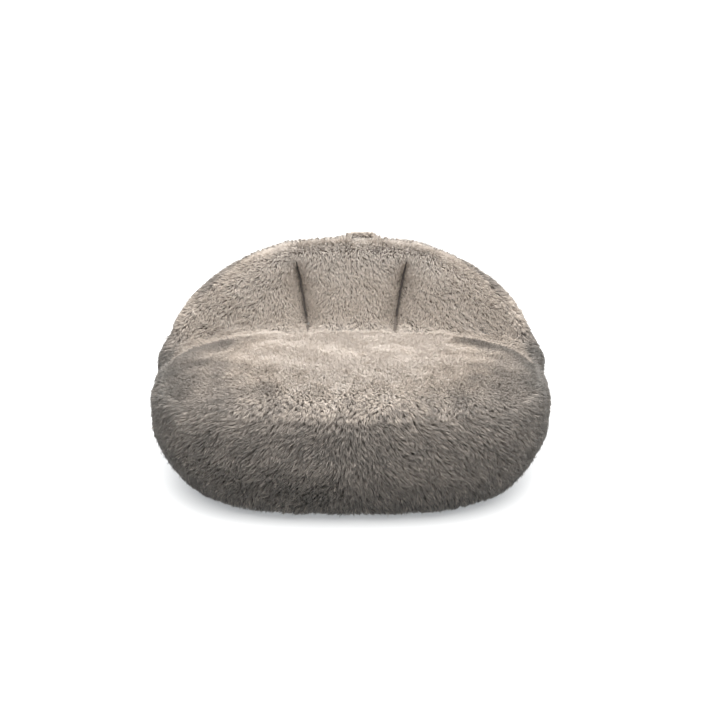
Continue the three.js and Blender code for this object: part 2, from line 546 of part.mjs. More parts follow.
// slider: plate, lips, web and inner plate as one I-shaped section, 13 long, at the closed end
const SLIDER_A = tA - 8.5 / R_TAPE;
{
  const w = 4.8, lip = 3.7, web = 0.35, top0 = ZIP.toothT + 0.5, top1 = top0 + 1.1;
  const in1 = -ZIP.tape - 0.3, in0 = in1 - 0.9;
  const half = [[web, top0], [lip, top0], [lip, 0.5], [w, 0.5], [w, top1 + 2.4], [3.2, top1 + 2.4], [3.2, top1]];
  const low = [[w - 1, in0], [w - 1, in1], [web, in1]];
  const pts = [...low, ...half].map(([z, r]) => new THREE.Vector2(z, r));
  const mirror = [...pts].reverse().map((p) => new THREE.Vector2(-p.x, p.y));
  const section = new THREE.Shape([...pts, ...mirror]);
  const g = new THREE.ExtrudeGeometry(section, { depth: 13, bevelEnabled: false, steps: 1 });
  const pos = g.getAttribute('position');
  for (let k = 0; k < pos.count; k++) {
    const zz = pos.getX(k), rr = pos.getY(k), s = pos.getZ(k) - 6.5;
    const p = polar(R_TAPE + rr, SLIDER_A + s / R_TAPE, ZIP.z + zz);
    pos.setXYZ(k, p.x, p.y, p.z);
  }
  add('zip_slider', closed(g), stopMat());
  // pull: a flat tab with a rounded end, lying back along the zip; its crossbar turns between the plate's rails
  const outline = [[-0.7, -2.9], [0.7, -2.9], [0.7, 2.9], [-0.7, 2.9], [-0.7, 1.8]], nArc = 8;
  for (let k = 0; k <= nArc; k++) {
    const f = Math.PI / 2 + (Math.PI * k) / nArc;
    outline.push([-22 + 2.9 * Math.cos(f), 2.9 * Math.sin(f)]);
  }
  outline.push([-0.7, -1.8]);
  const tab = new THREE.Shape(outline.map(([x, y]) => new THREE.Vector2(x, y)));
  const eye = [];
  for (let k = 0; k < 12; k++) eye.push(new THREE.Vector2(-21.5 + 1.5 * Math.cos(k * Math.PI / 6), 1.5 * Math.sin(k * Math.PI / 6)));
  tab.holes.push(new THREE.Path(eye));
  const tg = new THREE.ExtrudeGeometry(tab, { depth: 1.4, bevelEnabled: false, curveSegments: 8 });
  const tp = tg.getAttribute('position');
  for (let k = 0; k < tp.count; k++) {
    const p = polar(R_TAPE + top1 + 1 + tp.getZ(k), SLIDER_A + tp.getX(k) / R_TAPE, ZIP.z + tp.getY(k));
    tp.setXYZ(k, p.x, p.y, p.z);
  }
  add('zip_pull', closed(tg), stopMat());
}

// ---- care label below the zip -------------------------------------------------------------------
{
  const grid = [];
  for (let i = 0; i <= 2; i++) {
    const col = [];
    for (let j = 0; j <= 3; j++) {
      const z = ZIP.z - ZIP.half - 3 - j * 16;
      const p = hit(V(-176 + i * 21, 900, z), V(0, -1, 0));
      col.push(p.addScaledVector(outward(p), 1.6));
    }
    grid.push(col);
  }
  const nu = 2, nv = 3, box = new THREE.BoxGeometry(1, 1, 1, nu, nv, 1), pos = box.getAttribute('position');
  for (let k = 0; k < pos.count; k++) {
    const i = Math.round((pos.getX(k) + 0.5) * nu), j = Math.round((pos.getY(k) + 0.5) * nv);
    const p = grid[i][j].clone();
    p.y += pos.getZ(k) > 0 ? 0.8 : 0;
    pos.setXYZ(k, p.x, p.y, p.z);
  }
  add('care_label', closed(box), fabric(0xe8e4dc, 0.7));
}

export default group;
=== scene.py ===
"""A round bean bag chair in long-pile faux fur: looks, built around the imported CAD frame."""
import math

import bpy
import numpy as np
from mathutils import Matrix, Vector
from mathutils.kdtree import KDTree


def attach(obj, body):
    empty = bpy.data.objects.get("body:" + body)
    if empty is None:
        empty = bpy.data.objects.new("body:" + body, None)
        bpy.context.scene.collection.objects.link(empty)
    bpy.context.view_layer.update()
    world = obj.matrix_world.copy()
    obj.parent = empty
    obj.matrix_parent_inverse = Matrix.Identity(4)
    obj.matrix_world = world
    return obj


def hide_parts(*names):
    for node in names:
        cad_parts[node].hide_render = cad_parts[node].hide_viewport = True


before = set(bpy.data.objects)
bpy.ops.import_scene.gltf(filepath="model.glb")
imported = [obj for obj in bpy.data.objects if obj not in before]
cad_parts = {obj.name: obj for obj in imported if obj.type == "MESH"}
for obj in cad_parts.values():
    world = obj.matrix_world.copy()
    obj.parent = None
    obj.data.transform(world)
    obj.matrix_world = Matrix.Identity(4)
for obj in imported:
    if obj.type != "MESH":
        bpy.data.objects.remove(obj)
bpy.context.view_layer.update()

SEED = 20611
scene = bpy.context.scene

# ---- camera, light and floor ----
CAMERA_TARGET = Vector((0.022, -0.003, 0.256))
CAMERA_DISTANCE = 3.4
CAMERA_ELEVATION = math.radians(18)
CAMERA_LENS = 70.55
SENSOR_WIDTH = 36
SUN_STRENGTH = 8.2
SUN_ANGLE = math.radians(84)
SUN_TILT = math.radians(16)
SUN_LEAN = math.radians(4)
REAR_FILL, REAR_TILT = 1.8, math.radians(62)
AMBIENT = 0.36
WARM_WHITE, COOL_WHITE = (1.0, 0.99, 0.975), (0.93, 0.96, 1, 1)
FLOOR_SIZE = 60
FLOOR_COLOUR, FLOOR_GLOW, FLOOR_GLOW_STRENGTH = (0.5, 0.5, 0.5, 1), (0.95, 0.98, 1, 1), 0.36


def sun_lamp(name, strength, turn, place):
    """A wide soft sun."""
    light = bpy.data.lights.new(name, "SUN")
    light.energy = strength
    light.angle = SUN_ANGLE
    lamp = bpy.data.objects.new(name, light)
    lamp.rotation_euler = turn
    lamp.location = place
    scene.collection.objects.link(lamp)
    return light


def camera_and_light():
    cam = bpy.data.cameras.new("camera")
    cam.sensor_width = SENSOR_WIDTH
    cam.lens = CAMERA_LENS
    cam.clip_end = 100
    ob = bpy.data.objects.new("camera", cam)
    back = Vector((0, -math.cos(CAMERA_ELEVATION), math.sin(CAMERA_ELEVATION)))
    ob.location = CAMERA_TARGET + back * CAMERA_DISTANCE
    ob.rotation_euler = (-back).to_track_quat("-Z", "Y").to_euler()
    scene.collection.objects.link(ob)
    scene.camera = ob

    sun_lamp("softbox", SUN_STRENGTH, (SUN_TILT, SUN_LEAN, 0), (0, 0, 3)).color = WARM_WHITE
    sun_lamp("rear_fill", REAR_FILL, (-REAR_TILT, 0, 0), (0, 2, 2))

    world = bpy.data.worlds.new("studio")
    scene.world = world
    world.use_nodes = True
    nodes, links = world.node_tree.nodes, world.node_tree.links
    nodes.clear()
    out = nodes.new("ShaderNodeOutputWorld")
    mix = nodes.new("ShaderNodeMixShader")
    path = nodes.new("ShaderNodeLightPath")
    seen, lit = nodes.new("ShaderNodeBackground"), nodes.new("ShaderNodeBackground")
    fill_in(seen, {"Color": (1, 1, 1, 1)})
    fill_in(lit, {"Color": COOL_WHITE, "Strength": AMBIENT})
    links.new(path.outputs["Is Camera Ray"], mix.inputs[0])
    links.new(lit.outputs[0], mix.inputs[1])
    links.new(seen.outputs[0], mix.inputs[2])
    links.new(mix.outputs[0], out.inputs[0])
    scene.view_settings.view_transform = "Standard"


def studio_floor():
    """A pale floor that glows a little, as a lit sweep of paper does."""
    mat = bpy.data.materials.new("studio_floor")
    mat.use_nodes = True
    fill_in(mat.node_tree.nodes["Principled BSDF"], {
        "Base Color": FLOOR_COLOUR, "Roughness": 0.9,
        "Emission Color": FLOOR_GLOW, "Emission Strength": FLOOR_GLOW_STRENGTH})
    corners = [(-FLOOR_SIZE, -FLOOR_SIZE, 0), (FLOOR_SIZE, -FLOOR_SIZE, 0),
               (FLOOR_SIZE, FLOOR_SIZE, 0), (-FLOOR_SIZE, FLOOR_SIZE, 0)]
    me = bpy.data.meshes.new("floor")
    me.from_pydata(corners, [], [(0, 1, 2, 3)])
    me.materials.append(mat)
    floor = bpy.data.objects.new("floor", me)
    scene.collection.objects.link(floor)
    floor.visible_diffuse = False


# ---- numpy meshes ----
def unit(a):
    return a / np.maximum(np.linalg.norm(a, axis=-1, keepdims=True), 1e-12)


def make(name, v, f, mat, node, uv=None):
    """A piece from points and triangles. It rides on the chair and stands for a CAD node."""
    v, f = np.ascontiguousarray(v, np.float32), np.ascontiguousarray(f, np.int32)
    me = bpy.data.meshes.new(name)
    me.vertices.add(len(v))
    me.vertices.foreach_set("co", v.ravel())
    me.loops.add(f.size)
    me.loops.foreach_set("vertex_index", f.ravel())
    me.polygons.add(len(f))
    me.polygons.foreach_set("loop_start", np.arange(0, f.size, 3, dtype=np.int32))
    me.polygons.foreach_set("use_smooth", np.full(len(f), True))
    me.update(calc_edges=True)
    if uv is not None:
        layer = me.uv_layers.new(name="OFBake")
        layer.data.foreach_set("uv", uv[f.ravel()].astype(np.float32).ravel())
    me.validate()
    me.materials.append(mat)
    ob = bpy.data.objects.new(name, me)
    scene.collection.objects.link(ob)
    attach(ob, "chair")
    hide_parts(node)
    return ob


def welded(name):
    """A CAD node's points and triangles, each point once."""
    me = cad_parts[name].data
    co = np.empty(len(me.vertices) * 3, np.float32)
    me.vertices.foreach_get("co", co)
    me.calc_loop_triangles()
    tri = np.empty(len(me.loop_triangles) * 3, np.int32)
    me.loop_triangles.foreach_get("vertices", tri)
    co = co.reshape(-1, 3).astype(float)
    _, first, place = np.unique(np.round(co * 1e5), axis=0, return_index=True, return_inverse=True)
    f = place.reshape(-1)[tri].reshape(-1, 3)
    solid = (f[:, 0] != f[:, 1]) & (f[:, 1] != f[:, 2]) & (f[:, 0] != f[:, 2])
    return co[first], f[solid]


def split(v, f, rounds=1):
    """Every triangle in four, through the middles of its edges."""
    for _ in range(rounds):
        n = len(f)
        e = np.sort(np.concatenate([f[:, [0, 1]], f[:, [1, 2]], f[:, [2, 0]]]), 1)
        once, place = np.unique(e, axis=0, return_inverse=True)
        place = place.reshape(-1) + len(v)
        v = np.concatenate([v, (v[once[:, 0]] + v[once[:, 1]]) / 2])
        ab, bc, ca = place[:n], place[n:2 * n], place[2 * n:]
        a, b, c = f.T
        f = np.concatenate([np.stack(t, 1) for t in ((a, ab, ca), (ab, b, bc), (ca, bc, c), (ab, bc, ca))])
    return v, f


def normals(v, f):
    """Each point's normal, weighted by the area of the triangles around it."""
    face = np.cross(v[f[:, 1]] - v[f[:, 0]], v[f[:, 2]] - v[f[:, 0]])
    n = np.zeros_like(v)
    for k in range(3):
        np.add.at(n, f[:, k], face)
    return unit(n)


def rim(f):
    """The directed edges that only one triangle has."""
    e = np.concatenate([f[:, [0, 1]], f[:, [1, 2]], f[:, [2, 0]]])
    _, place, count = np.unique(np.sort(e, 1), axis=0, return_inverse=True, return_counts=True)
    return e[count[place.reshape(-1)] == 1]


def shell(v, f, thick, n=None):
    """A closed sheet of cloth, its outer face on the given surface."""
    n = normals(v, f) if n is None else n
    e, m = rim(f), len(v)
    side = np.concatenate([np.stack([e[:, 1], e[:, 0], e[:, 0] + m], 1),
                           np.stack([e[:, 1], e[:, 0] + m, e[:, 1] + m], 1)])
    return np.concatenate([v, v - n * thick]), np.concatenate([f, f[:, ::-1] + m, side])


def only(v, f):
    """The points that the triangles use, the triangles on them, and which points those were."""
    used, place = np.unique(f, return_inverse=True)
    return v[used], place.reshape(f.shape), used


def wave(p, size, seed, terms=7):
    """Smooth seeded noise from -1 to 1, with features about this size."""
    rng = np.random.default_rng(seed)
    k = unit(rng.normal(size=(terms, 3))) * (2 * math.pi / size) * rng.uniform(0.6, 1.5, (terms, 1))
    s = np.sin(p @ k.T + rng.uniform(0, 2 * math.pi, terms)).sum(-1)
    return np.clip(s / (1.25 * math.sqrt(terms)), -1, 1)


def ease(v, a, b):
    """A smooth step from 0 at a to 1 at b."""
    t = np.clip((v - a) / (b - a), 0, 1)
    return t * t * (3 - 2 * t)


def ring_faces(rings, sides):
    """Triangles between rings of points in a row, and a fan on the two points that follow the rings."""
    i, k = (q.ravel() for q in np.meshgrid(np.arange(rings - 1), np.arange(sides), indexing="ij"))
    p00, p01 = i * sides + k, i * sides + (k + 1) % sides
    k = np.arange(sides)
    last = (rings - 1) * sides
    return np.concatenate([np.stack(t, 1) for t in (
        (p00, p01, p01 + sides), (p00, p01 + sides, p00 + sides),
        ((k + 1) % sides, k, np.full(sides, rings * sides)),
        (last + k, last + (k + 1) % sides, np.full(sides, rings * sides + 1)))])


def tube(path, radius, sides=8):
    """A tube along a path, with a fan on each end."""
    path = np.asarray(path, float)
    t = unit(np.gradient(path, axis=0))
    ref = np.where(np.abs(t[:, [2]]) > 0.9, [[1.0, 0, 0]], [[0, 0, 1.0]])
    a = unit(np.cross(t, ref))
    b = np.cross(t, a)
    r = np.broadcast_to(np.asarray(radius, float), (len(path),))[:, None, None]
    ang = (np.arange(sides) * 2 * math.pi / sides)[None, :, None]
    ring = path[:, None] + r * (np.cos(ang) * a[:, None] + np.sin(ang) * b[:, None])
    v = np.concatenate([ring.reshape(-1, 3), path[:1], path[-1:]])
    return v, ring_faces(len(path), sides)


def joined(parts):
    """Several meshes as one."""
    vs, fs, base = [], [], 0
    for v, f in parts:
        vs.append(v)
        fs.append(f + base)
        base += len(v)
    return np.concatenate(vs), np.concatenate(fs)


def resampled(path, count):
    """A smooth curve through the points, at even steps."""
    path = np.asarray(path, float)
    at = np.concatenate([[0], np.cumsum(np.linalg.norm(np.diff(path, axis=0), axis=1))])
    fine = np.linspace(0, at[-1], count * 8)
    p = np.stack([np.interp(fine, at, path[:, k]) for k in range(3)], 1)
    w = np.hanning(2 * (count * 8 // (2 * len(path))) + 3)
    w /= w.sum()
    h = len(w) // 2
    padded = np.concatenate([2 * p[0] - p[h:0:-1], p, 2 * p[-1] - p[-2:-h - 2:-1]])
    p = np.stack([np.convolve(padded[:, k], w, "valid") for k in range(3)], 1)
    return p[np.linspace(0, len(p) - 1, count).round().astype(int)]


# ---- the filled body, as one smooth solid ----
Y_SHIFT = 0.00325
SEAT = dict(c=(0, -0.005, 0.170), r=(0.473, 0.446, 0.138), drop=0.342, n=2.9, up=3.8, low=1.7, k=0.240)
BACK = dict(c=(0, 0.150, 0.170), r=(0.476, 0.305, 0.350), drop=0.342, n=2.5, up=2.1, low=1.7, k=0.340)
SEAT_FALL = 0.020
SCOOP = dict(y=-0.340, rx=0.720, ry=0.520, lean=0.14, z=0.300, k=0.560)
CROWN_K, CREASE_K, CREASE_END_K, BASE_K = 0.064, 0.022, 0.034, 0.036
DART = dict(x_low=0.115, x_high=0.141, z_low=0.300, z_high=0.470, depth=0.066, w=0.020)


def smin(a, b, k):
    """The smaller of two fields, blended over a width k."""
    h = np.clip(0.5 + 0.5 * (b - a) / k, 0, 1)
    return b + (a - b) * h - k * h * (1 - h)


def smax(a, b, k):
    return -smin(-a, -b, k)


def lobe(s, x, y, z):
    """A rounded lobe: negative inside. Its power and half height differ above and below its widest line."""
    qx = np.abs((x - s["c"][0]) / s["r"][0]) + 1e-9
    qy = np.abs((y - s["c"][1]) / s["r"][1]) + 1e-9
    dz = z - s["c"][2]
    m = np.where(dz > 0, s["up"], s["low"])
    qz = np.abs(dz) / np.where(dz > 0, s["r"][2], s["drop"]) + 1e-9
    plan = (qx ** s["n"] + qy ** s["n"]) ** (1 / s["n"])
    return ((plan ** m + qz ** m) ** (1 / m) - 1) * s["k"]


def dart_x(z):
    """How far from the middle a dart lies at a height."""
    t = np.clip((z - DART["z_low"]) / (DART["z_high"] - DART["z_low"]), -1, 2)
    return DART["x_low"] + (DART["x_high"] - DART["x_low"]) * t


def scoop(x, y, z):
    """The hollow that a sitter's back fits in: negative inside."""
    lean = (y - SCOOP["y"] - (z - SCOOP["z"]) * SCOOP["lean"]) / SCOOP["ry"]
    return (np.sqrt((x / SCOOP["rx"]) ** 2 + lean ** 2 + 1e-9) - 1) * SCOOP["k"]


def dart_near(x, y, z):
    """1 on the front face of the back at the height of the darts, and 0 elsewhere."""
    s = scoop(x, y, z)
    tall = ease(z, DART["z_low"] - 0.055, DART["z_low"] + 0.005)
    tall = tall * (1 - ease(z, DART["z_high"] - 0.09, DART["z_high"] + 0.008))
    return tall * ease(-s, -0.14, -0.02) * (1 - ease(-s, 0.02, 0.06))


def body(p):
    """The chair's outer surface as a field: negative inside, 0 on the surface."""
    x, y, z = p[..., 0], p[..., 1] + Y_SHIFT, p[..., 2]
    seat = lobe(SEAT, x, y, z + SEAT_FALL * ease(y, -0.2, 0.2) * ease(z, 0.138, 0.26))
    back = smax(lobe(BACK, x, y, z), -scoop(x, y, z), CROWN_K)
    dx = np.abs(x) - dart_x(z)
    cut = DART["depth"] * dart_near(x, y, z) * np.exp(-np.sqrt(dx * dx + 1.6e-5) / DART["w"])
    k = CREASE_K + CREASE_END_K * ease(np.abs(x), 0.3, 0.46) * ease(z, 0.19, 0.27)
    return smax(smin(seat, back, k) + cut, -z, BASE_K)


def gradient(p, h=0.0015):
    step = np.eye(3) * h
    return np.stack([body(p + s) - body(p - s) for s in step], -1) / (2 * h)


def settled(p, rounds=3):
    """The points moved onto the surface."""
    for _ in range(rounds):
        g = gradient(p)
        d = (body(p) / np.maximum((g * g).sum(-1), 0.04))[:, None] * g
        size = np.linalg.norm(d, axis=1, keepdims=True)
        p = p - d * np.minimum(1, 0.012 / np.maximum(size, 1e-9))
    return p


def hit(origin, direction, reach=1.2, steps=1200):
    """Where a ray first meets the body."""
    t = np.linspace(0, reach, steps)
    p = np.asarray(origin) + t[:, None] * np.asarray(direction, float)
    b = body(p)
    i = int(np.argmax(b < 0))
    w = b[i - 1] / (b[i - 1] - b[i])
    return p[i - 1] * (1 - w) + p[i] * w


# ---- materials ----
def fill_in(node, values):
    """Constant values, set on the node's own sockets."""
    for socket, value in values.items():
        node.inputs[socket].default_value = value


def shader(name, roughness, metallic=0.0, sheen=0.0, specular=0.5, sheen_tint=(1, 1, 1)):
    mat = bpy.data.materials.new(name)
    mat.use_nodes = True
    nodes, links = mat.node_tree.nodes, mat.node_tree.links
    bsdf = nodes["Principled BSDF"]
    fill_in(bsdf, {"Roughness": roughness, "Metallic": metallic, "Specular IOR Level": specular,
                   "Sheen Weight": sheen, "Sheen Roughness": 0.5, "Sheen Tint": (*sheen_tint, 1)})
    return mat, nodes, links, bsdf


def ramp(nodes, links, source, stops):
    node = nodes.new("ShaderNodeValToRGB")
    node.color_ramp.interpolation = "LINEAR"
    while len(node.color_ramp.elements) < len(stops):
        node.color_ramp.elements.new(0.5)
    for element, (at, colour) in zip(node.color_ramp.elements, stops):
        element.position = at
        element.color = (*colour, 1)
    links.new(source, node.inputs[0])
    return node.outputs[0]


def maths(nodes, links, kind, a, b):
    node = nodes.new("ShaderNodeMath")
    node.operation = kind
    for socket, value in zip(node.inputs, (a, b)):
        if isinstance(value, (int, float)):
            socket.default_value = value
        else:
            links.new(value, socket)
    return node.outputs[0]


def multiply(nodes, links, a, b, share=1.0):
    node = nodes.new("ShaderNodeMix")
    node.data_type = "RGBA"
    node.blend_type = "MULTIPLY"
    if isinstance(share, float):
        node.inputs["Factor"].default_value = share
    else:
        links.new(share, node.inputs["Factor"])
    links.new(a, node.inputs["A"])
    links.new(b, node.inputs["B"])
    return node.outputs["Result"]


def noise(nodes, links, scale, detail, vector, kind="ShaderNodeTexNoise"):
    node = nodes.new(kind)
    node.inputs["Scale"].default_value = scale
    if "Detail" in node.inputs:
        node.inputs["Detail"].default_value = detail
    links.new(vector, node.inputs["Vector"])
    return node


def bump(nodes, links, bsdf, height, strength, distance):
    node = nodes.new("ShaderNodeBump")
    fill_in(node, {"Strength": strength, "Distance": distance})
    links.new(height, node.inputs["Height"])
    links.new(node.outputs[0], bsdf.inputs["Normal"])


# fur colours, partly the fur's own and partly painted light and shade: from the painted shade at the chair's
# foot to the painted light on the seat
TONES = [(0.00, (0.105, 0.104, 0.095)), (0.25, (0.195, 0.182, 0.166)), (0.50, (0.355, 0.318, 0.284)),
         (0.75, (0.575, 0.508, 0.445)), (0.88, (0.686, 0.611, 0.539)), (1.00, (0.835, 0.772, 0.712))]

# darkening from a strand's root to its tip, partly the fur's own darker roots and partly painted shade deep
# in the pile; the streaks of its fibre; and how strong the root's painted shade is
ROOT_TO_TIP = [(0.00, (0.46, 0.44, 0.42)), (0.30, (0.74, 0.72, 0.70)), (0.62, (0.97, 0.96, 0.95)),
               (1.00, (1, 1, 1))]
STREAKS_ACROSS, STREAKS_ALONG = 90.0, 2.2
ROOT_SHADE, ROOT_SHADE_FALL = 1.14, 0.74


def fur_material():
    """Pile: u of the strand's own map is its tone, and v runs from its root to its tip."""
    mat, nodes, links, bsdf = shader("faux_fur_pile", 0.62, sheen=0.25, specular=0.22,
                                     sheen_tint=(0.95, 0.90, 0.84))
    uv = nodes.new("ShaderNodeUVMap")
    uv.uv_map = "OFBake"
    part = nodes.new("ShaderNodeSeparateXYZ")
    links.new(uv.outputs[0], part.inputs[0])
    tone = ramp(nodes, links, part.outputs[0], TONES)
    along = ramp(nodes, links, part.outputs[1], ROOT_TO_TIP)
    stretch = nodes.new("ShaderNodeCombineXYZ")
    links.new(maths(nodes, links, "MULTIPLY", part.outputs[0], STREAKS_ACROSS), stretch.inputs[0])
    links.new(maths(nodes, links, "MULTIPLY", part.outputs[1], STREAKS_ALONG), stretch.inputs[1])
    streak = noise(nodes, links, 1.0, 2.0, stretch.outputs[0])
    fibre = ramp(nodes, links, streak.outputs["Fac"], [(0.25, (0.78, 0.77, 0.76)), (0.75, (1, 1, 1))])
    # painted shade at the roots: dark pile is darkened more towards its roots than pile that is painted light
    paler = maths(nodes, links, "MULTIPLY", part.outputs[0], ROOT_SHADE_FALL)
    depth = maths(nodes, links, "SUBTRACT", ROOT_SHADE, paler)
    colour = multiply(nodes, links, multiply(nodes, links, tone, along, depth), fibre)
    links.new(colour, bsdf.inputs["Base Color"])
    return mat


def weave_material(name, light, dark, cell, roughness=0.9, sheen=0.2, depth=0.0003, twill=False):
    """Woven cloth: warp and weft bands at the cell size, with uneven dye."""
    mat, nodes, links, bsdf = shader(name, roughness, sheen=sheen, specular=0.25)
    coords = nodes.new("ShaderNodeTexCoord").outputs["Object"]
    bands = []
    for direction in ("X", "Z"):
        node = nodes.new("ShaderNodeTexWave")
        node.wave_type = "BANDS"
        node.bands_direction = "DIAGONAL" if twill and direction == "X" else direction
        fill_in(node, {"Scale": 1.0 / cell / 3.1, "Distortion": 0.6, "Detail": 1.0})
        links.new(coords, node.inputs["Vector"])
        bands.append(node.outputs["Fac"])
    yarn = maths(nodes, links, "MULTIPLY", bands[0], bands[1])
    patch = noise(nodes, links, 18.0, 4.0, coords)
    both = maths(nodes, links, "ADD", maths(nodes, links, "MULTIPLY", yarn, 0.55),
                 maths(nodes, links, "MULTIPLY", patch.outputs["Fac"], 0.6))
    links.new(ramp(nodes, links, both, [(0.2, dark), (0.8, light)]), bsdf.inputs["Base Color"])
    bump(nodes, links, bsdf, yarn, 0.6, depth)
    return mat


def grain_material(name, light, dark, scale, roughness, metallic=0.0, sheen=0.0, stretch=None, depth=0.0002,
                   kind="ShaderNodeTexNoise"):
    """Uneven colour and grain from noise, drawn out along one direction where asked."""
    mat, nodes, links, bsdf = shader(name, roughness, metallic, sheen)
    vector = nodes.new("ShaderNodeTexCoord").outputs["Object"]
    if stretch:
        mapping = nodes.new("ShaderNodeMapping")
        mapping.inputs["Scale"].default_value = stretch
        links.new(vector, mapping.inputs["Vector"])
        vector = mapping.outputs[0]
    grain = noise(nodes, links, scale, 5.0, vector, kind)
    fac = grain.outputs["Distance"] if kind == "ShaderNodeTexVoronoi" else grain.outputs["Fac"]
    links.new(ramp(nodes, links, fac, [(0.25, dark), (0.75, light)]), bsdf.inputs["Base Color"])
    rough = nodes.new("ShaderNodeMapRange")
    fill_in(rough, {"To Min": max(0.05, roughness - 0.12), "To Max": min(1.0, roughness + 0.10)})
    links.new(fac, rough.inputs["Value"])
    links.new(rough.outputs[0], bsdf.inputs["Roughness"])
    bump(nodes, links, bsdf, fac, 0.5, depth)
    return mat


def thread_material(name, light, dark, roughness, sheen):
    return grain_material(name, light, dark, 900.0, roughness, sheen=sheen)


def repaint(node, mat):
    """A CAD node that keeps its shape gets the detailed material."""
    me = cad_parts[node].data
    for i in range(max(1, len(me.materials))):
        if i < len(me.materials):
            me.materials[i] = mat
        else:
            me.materials.append(mat)


# ---- the cover: backing cloth of the sewn panels ----
PANELS = ["seat_panel", "back_left_panel", "back_centre_panel", "back_right_panel", "front_wall_panel",
          "right_wall_panel", "left_wall_panel", "rear_upper_panel", "rear_lower_panel"]
FIRST_BACK, LAST_BACK, REAR_UPPER = 1, 3, 7
PILE = 0.0165  # from the backing to the outer surface of the pile
PELT = 0.0015  # the backing's own thickness
CAP = 0.008  # how far the filling may push the backing out
REST = 0.003  # the backing starts this much slack
SKIN_DEPTH = 0.004  # a solid's points nearer the surface than this are its outer face
WELD = 0.0009  # points of neighbouring panels nearer than this are one point of the seam
FLOOR_HOLD = 0.012  # the backing is held under this height, where the chair rests
CLOTH_FRAMES = 20


def cover():
    """All panels as one skin: points, triangles, and each triangle's panel."""
    parts, panel = [], []
    for i, name in enumerate(PANELS):
        v, f = welded(name)
        out = body(v) > -SKIN_DEPTH
        f = f[out[f].all(1)]
        v, f, _ = only(v, f)
        parts.append((v, f))
        panel += [i] * len(f)
    v, f = joined(parts)
    tree = KDTree(len(v))
    for i, p in enumerate(v):
        tree.insert(p, i)
    tree.balance()
    same = np.array([min(near[1] for near in tree.find_range(p, WELD)) for p in v])
    f = same[f]
    v, f, _ = only(v, f)
    panel = np.array(panel)
    for _ in range(2):
        v, f = split(v, f)
        panel = np.tile(panel, 4)
        v = settled(v)
    return v, f, panel


def seams(v, f, panel):
    """True where the skin is pulled in: round the back panels, at the zip and at the base's edge."""
    low, high = np.full(len(v), 99), np.full(len(v), -1)
    for k in range(3):
        np.minimum.at(low, f[:, k], panel)
        np.maximum.at(high, f[:, k], panel)
    feet = (high >= FIRST_BACK) & (high <= LAST_BACK)
    held = (low != high) & (feet | (low == REAR_UPPER))
    held[np.unique(rim(f))] = True
    return held


def swollen(v, f, held):
    """The skin pushed out by the filling: cloth with pressure, held along its seams."""
    me = bpy.data.meshes.new("swell")
    me.from_pydata(v.tolist(), [], f.tolist())
    me.update()
    ob = bpy.data.objects.new("swell", me)
    scene.collection.objects.link(ob)
    group = ob.vertex_groups.new(name="held")
    group.add(np.flatnonzero(held).tolist(), 1.0, "REPLACE")
    cloth = ob.modifiers.new("cloth", "CLOTH")
    s = cloth.settings
    s.quality = 5
    s.mass = 0.3
    s.tension_stiffness = s.compression_stiffness = 14
    s.shear_stiffness = 6
    s.bending_stiffness = 0.4
    s.shrink_min = -0.035
    s.use_pressure = True
    s.uniform_pressure_force = 4
    s.vertex_group_mass = "held"
    s.effector_weights.gravity = 0
    cloth.collision_settings.use_collision = False
    cloth.collision_settings.use_self_collision = False
    cloth.point_cache.frame_start, cloth.point_cache.frame_end = 1, CLOTH_FRAMES
    for number in range(1, CLOTH_FRAMES + 1):
        scene.frame_set(number)
    shaped = ob.evaluated_get(bpy.context.evaluated_depsgraph_get())
    out = np.empty(len(v) * 3, np.float32)
    shaped.data.vertices.foreach_get("co", out)
    out = out.reshape(-1, 3).astype(float)
    bpy.data.objects.remove(ob)
    bpy.data.meshes.remove(me)
    scene.frame_set(1)
    move = out - v
    size = np.linalg.norm(move, axis=1, keepdims=True)
    return moved_to(v + move * np.minimum(1, CAP / np.maximum(size, 1e-9)), np.maximum, -PILE - REST / 2)


def moved_to(p, choose, level):
    """The points moved along the normal, to the smaller or the larger of their own level and a given one."""
    g = gradient(p)
    now = body(p) / np.maximum(np.linalg.norm(g, axis=1), 0.2)
    return p + unit(g) * (choose(now, level) - now)[:, None]


def dart_gap(p):
    """How much a point belongs to a dart's valley, and its signed distance from the dart line."""
    dx = np.abs(p[:, 0]) - dart_x(p[:, 2])
    return dart_near(p[:, 0], p[:, 1] + Y_SHIFT, p[:, 2]), dx


# ---- pile ----
T_RINGS = np.array([0.0, 0.36, 0.72])
RING_WIDTH = np.array([0.80, 1.0, 0.66])
SIDES = 3
U_STEP = 0.012
TIP_LIFT = 0.16  # how much lighter a strand's tip is than its root, in tone
TONE_LIMITS = (0.012, 0.985)
FLOOR_GAP = 0.0004  # no part of a strand is nearer the floor than this
STRANDS_PER_PIECE = 12400


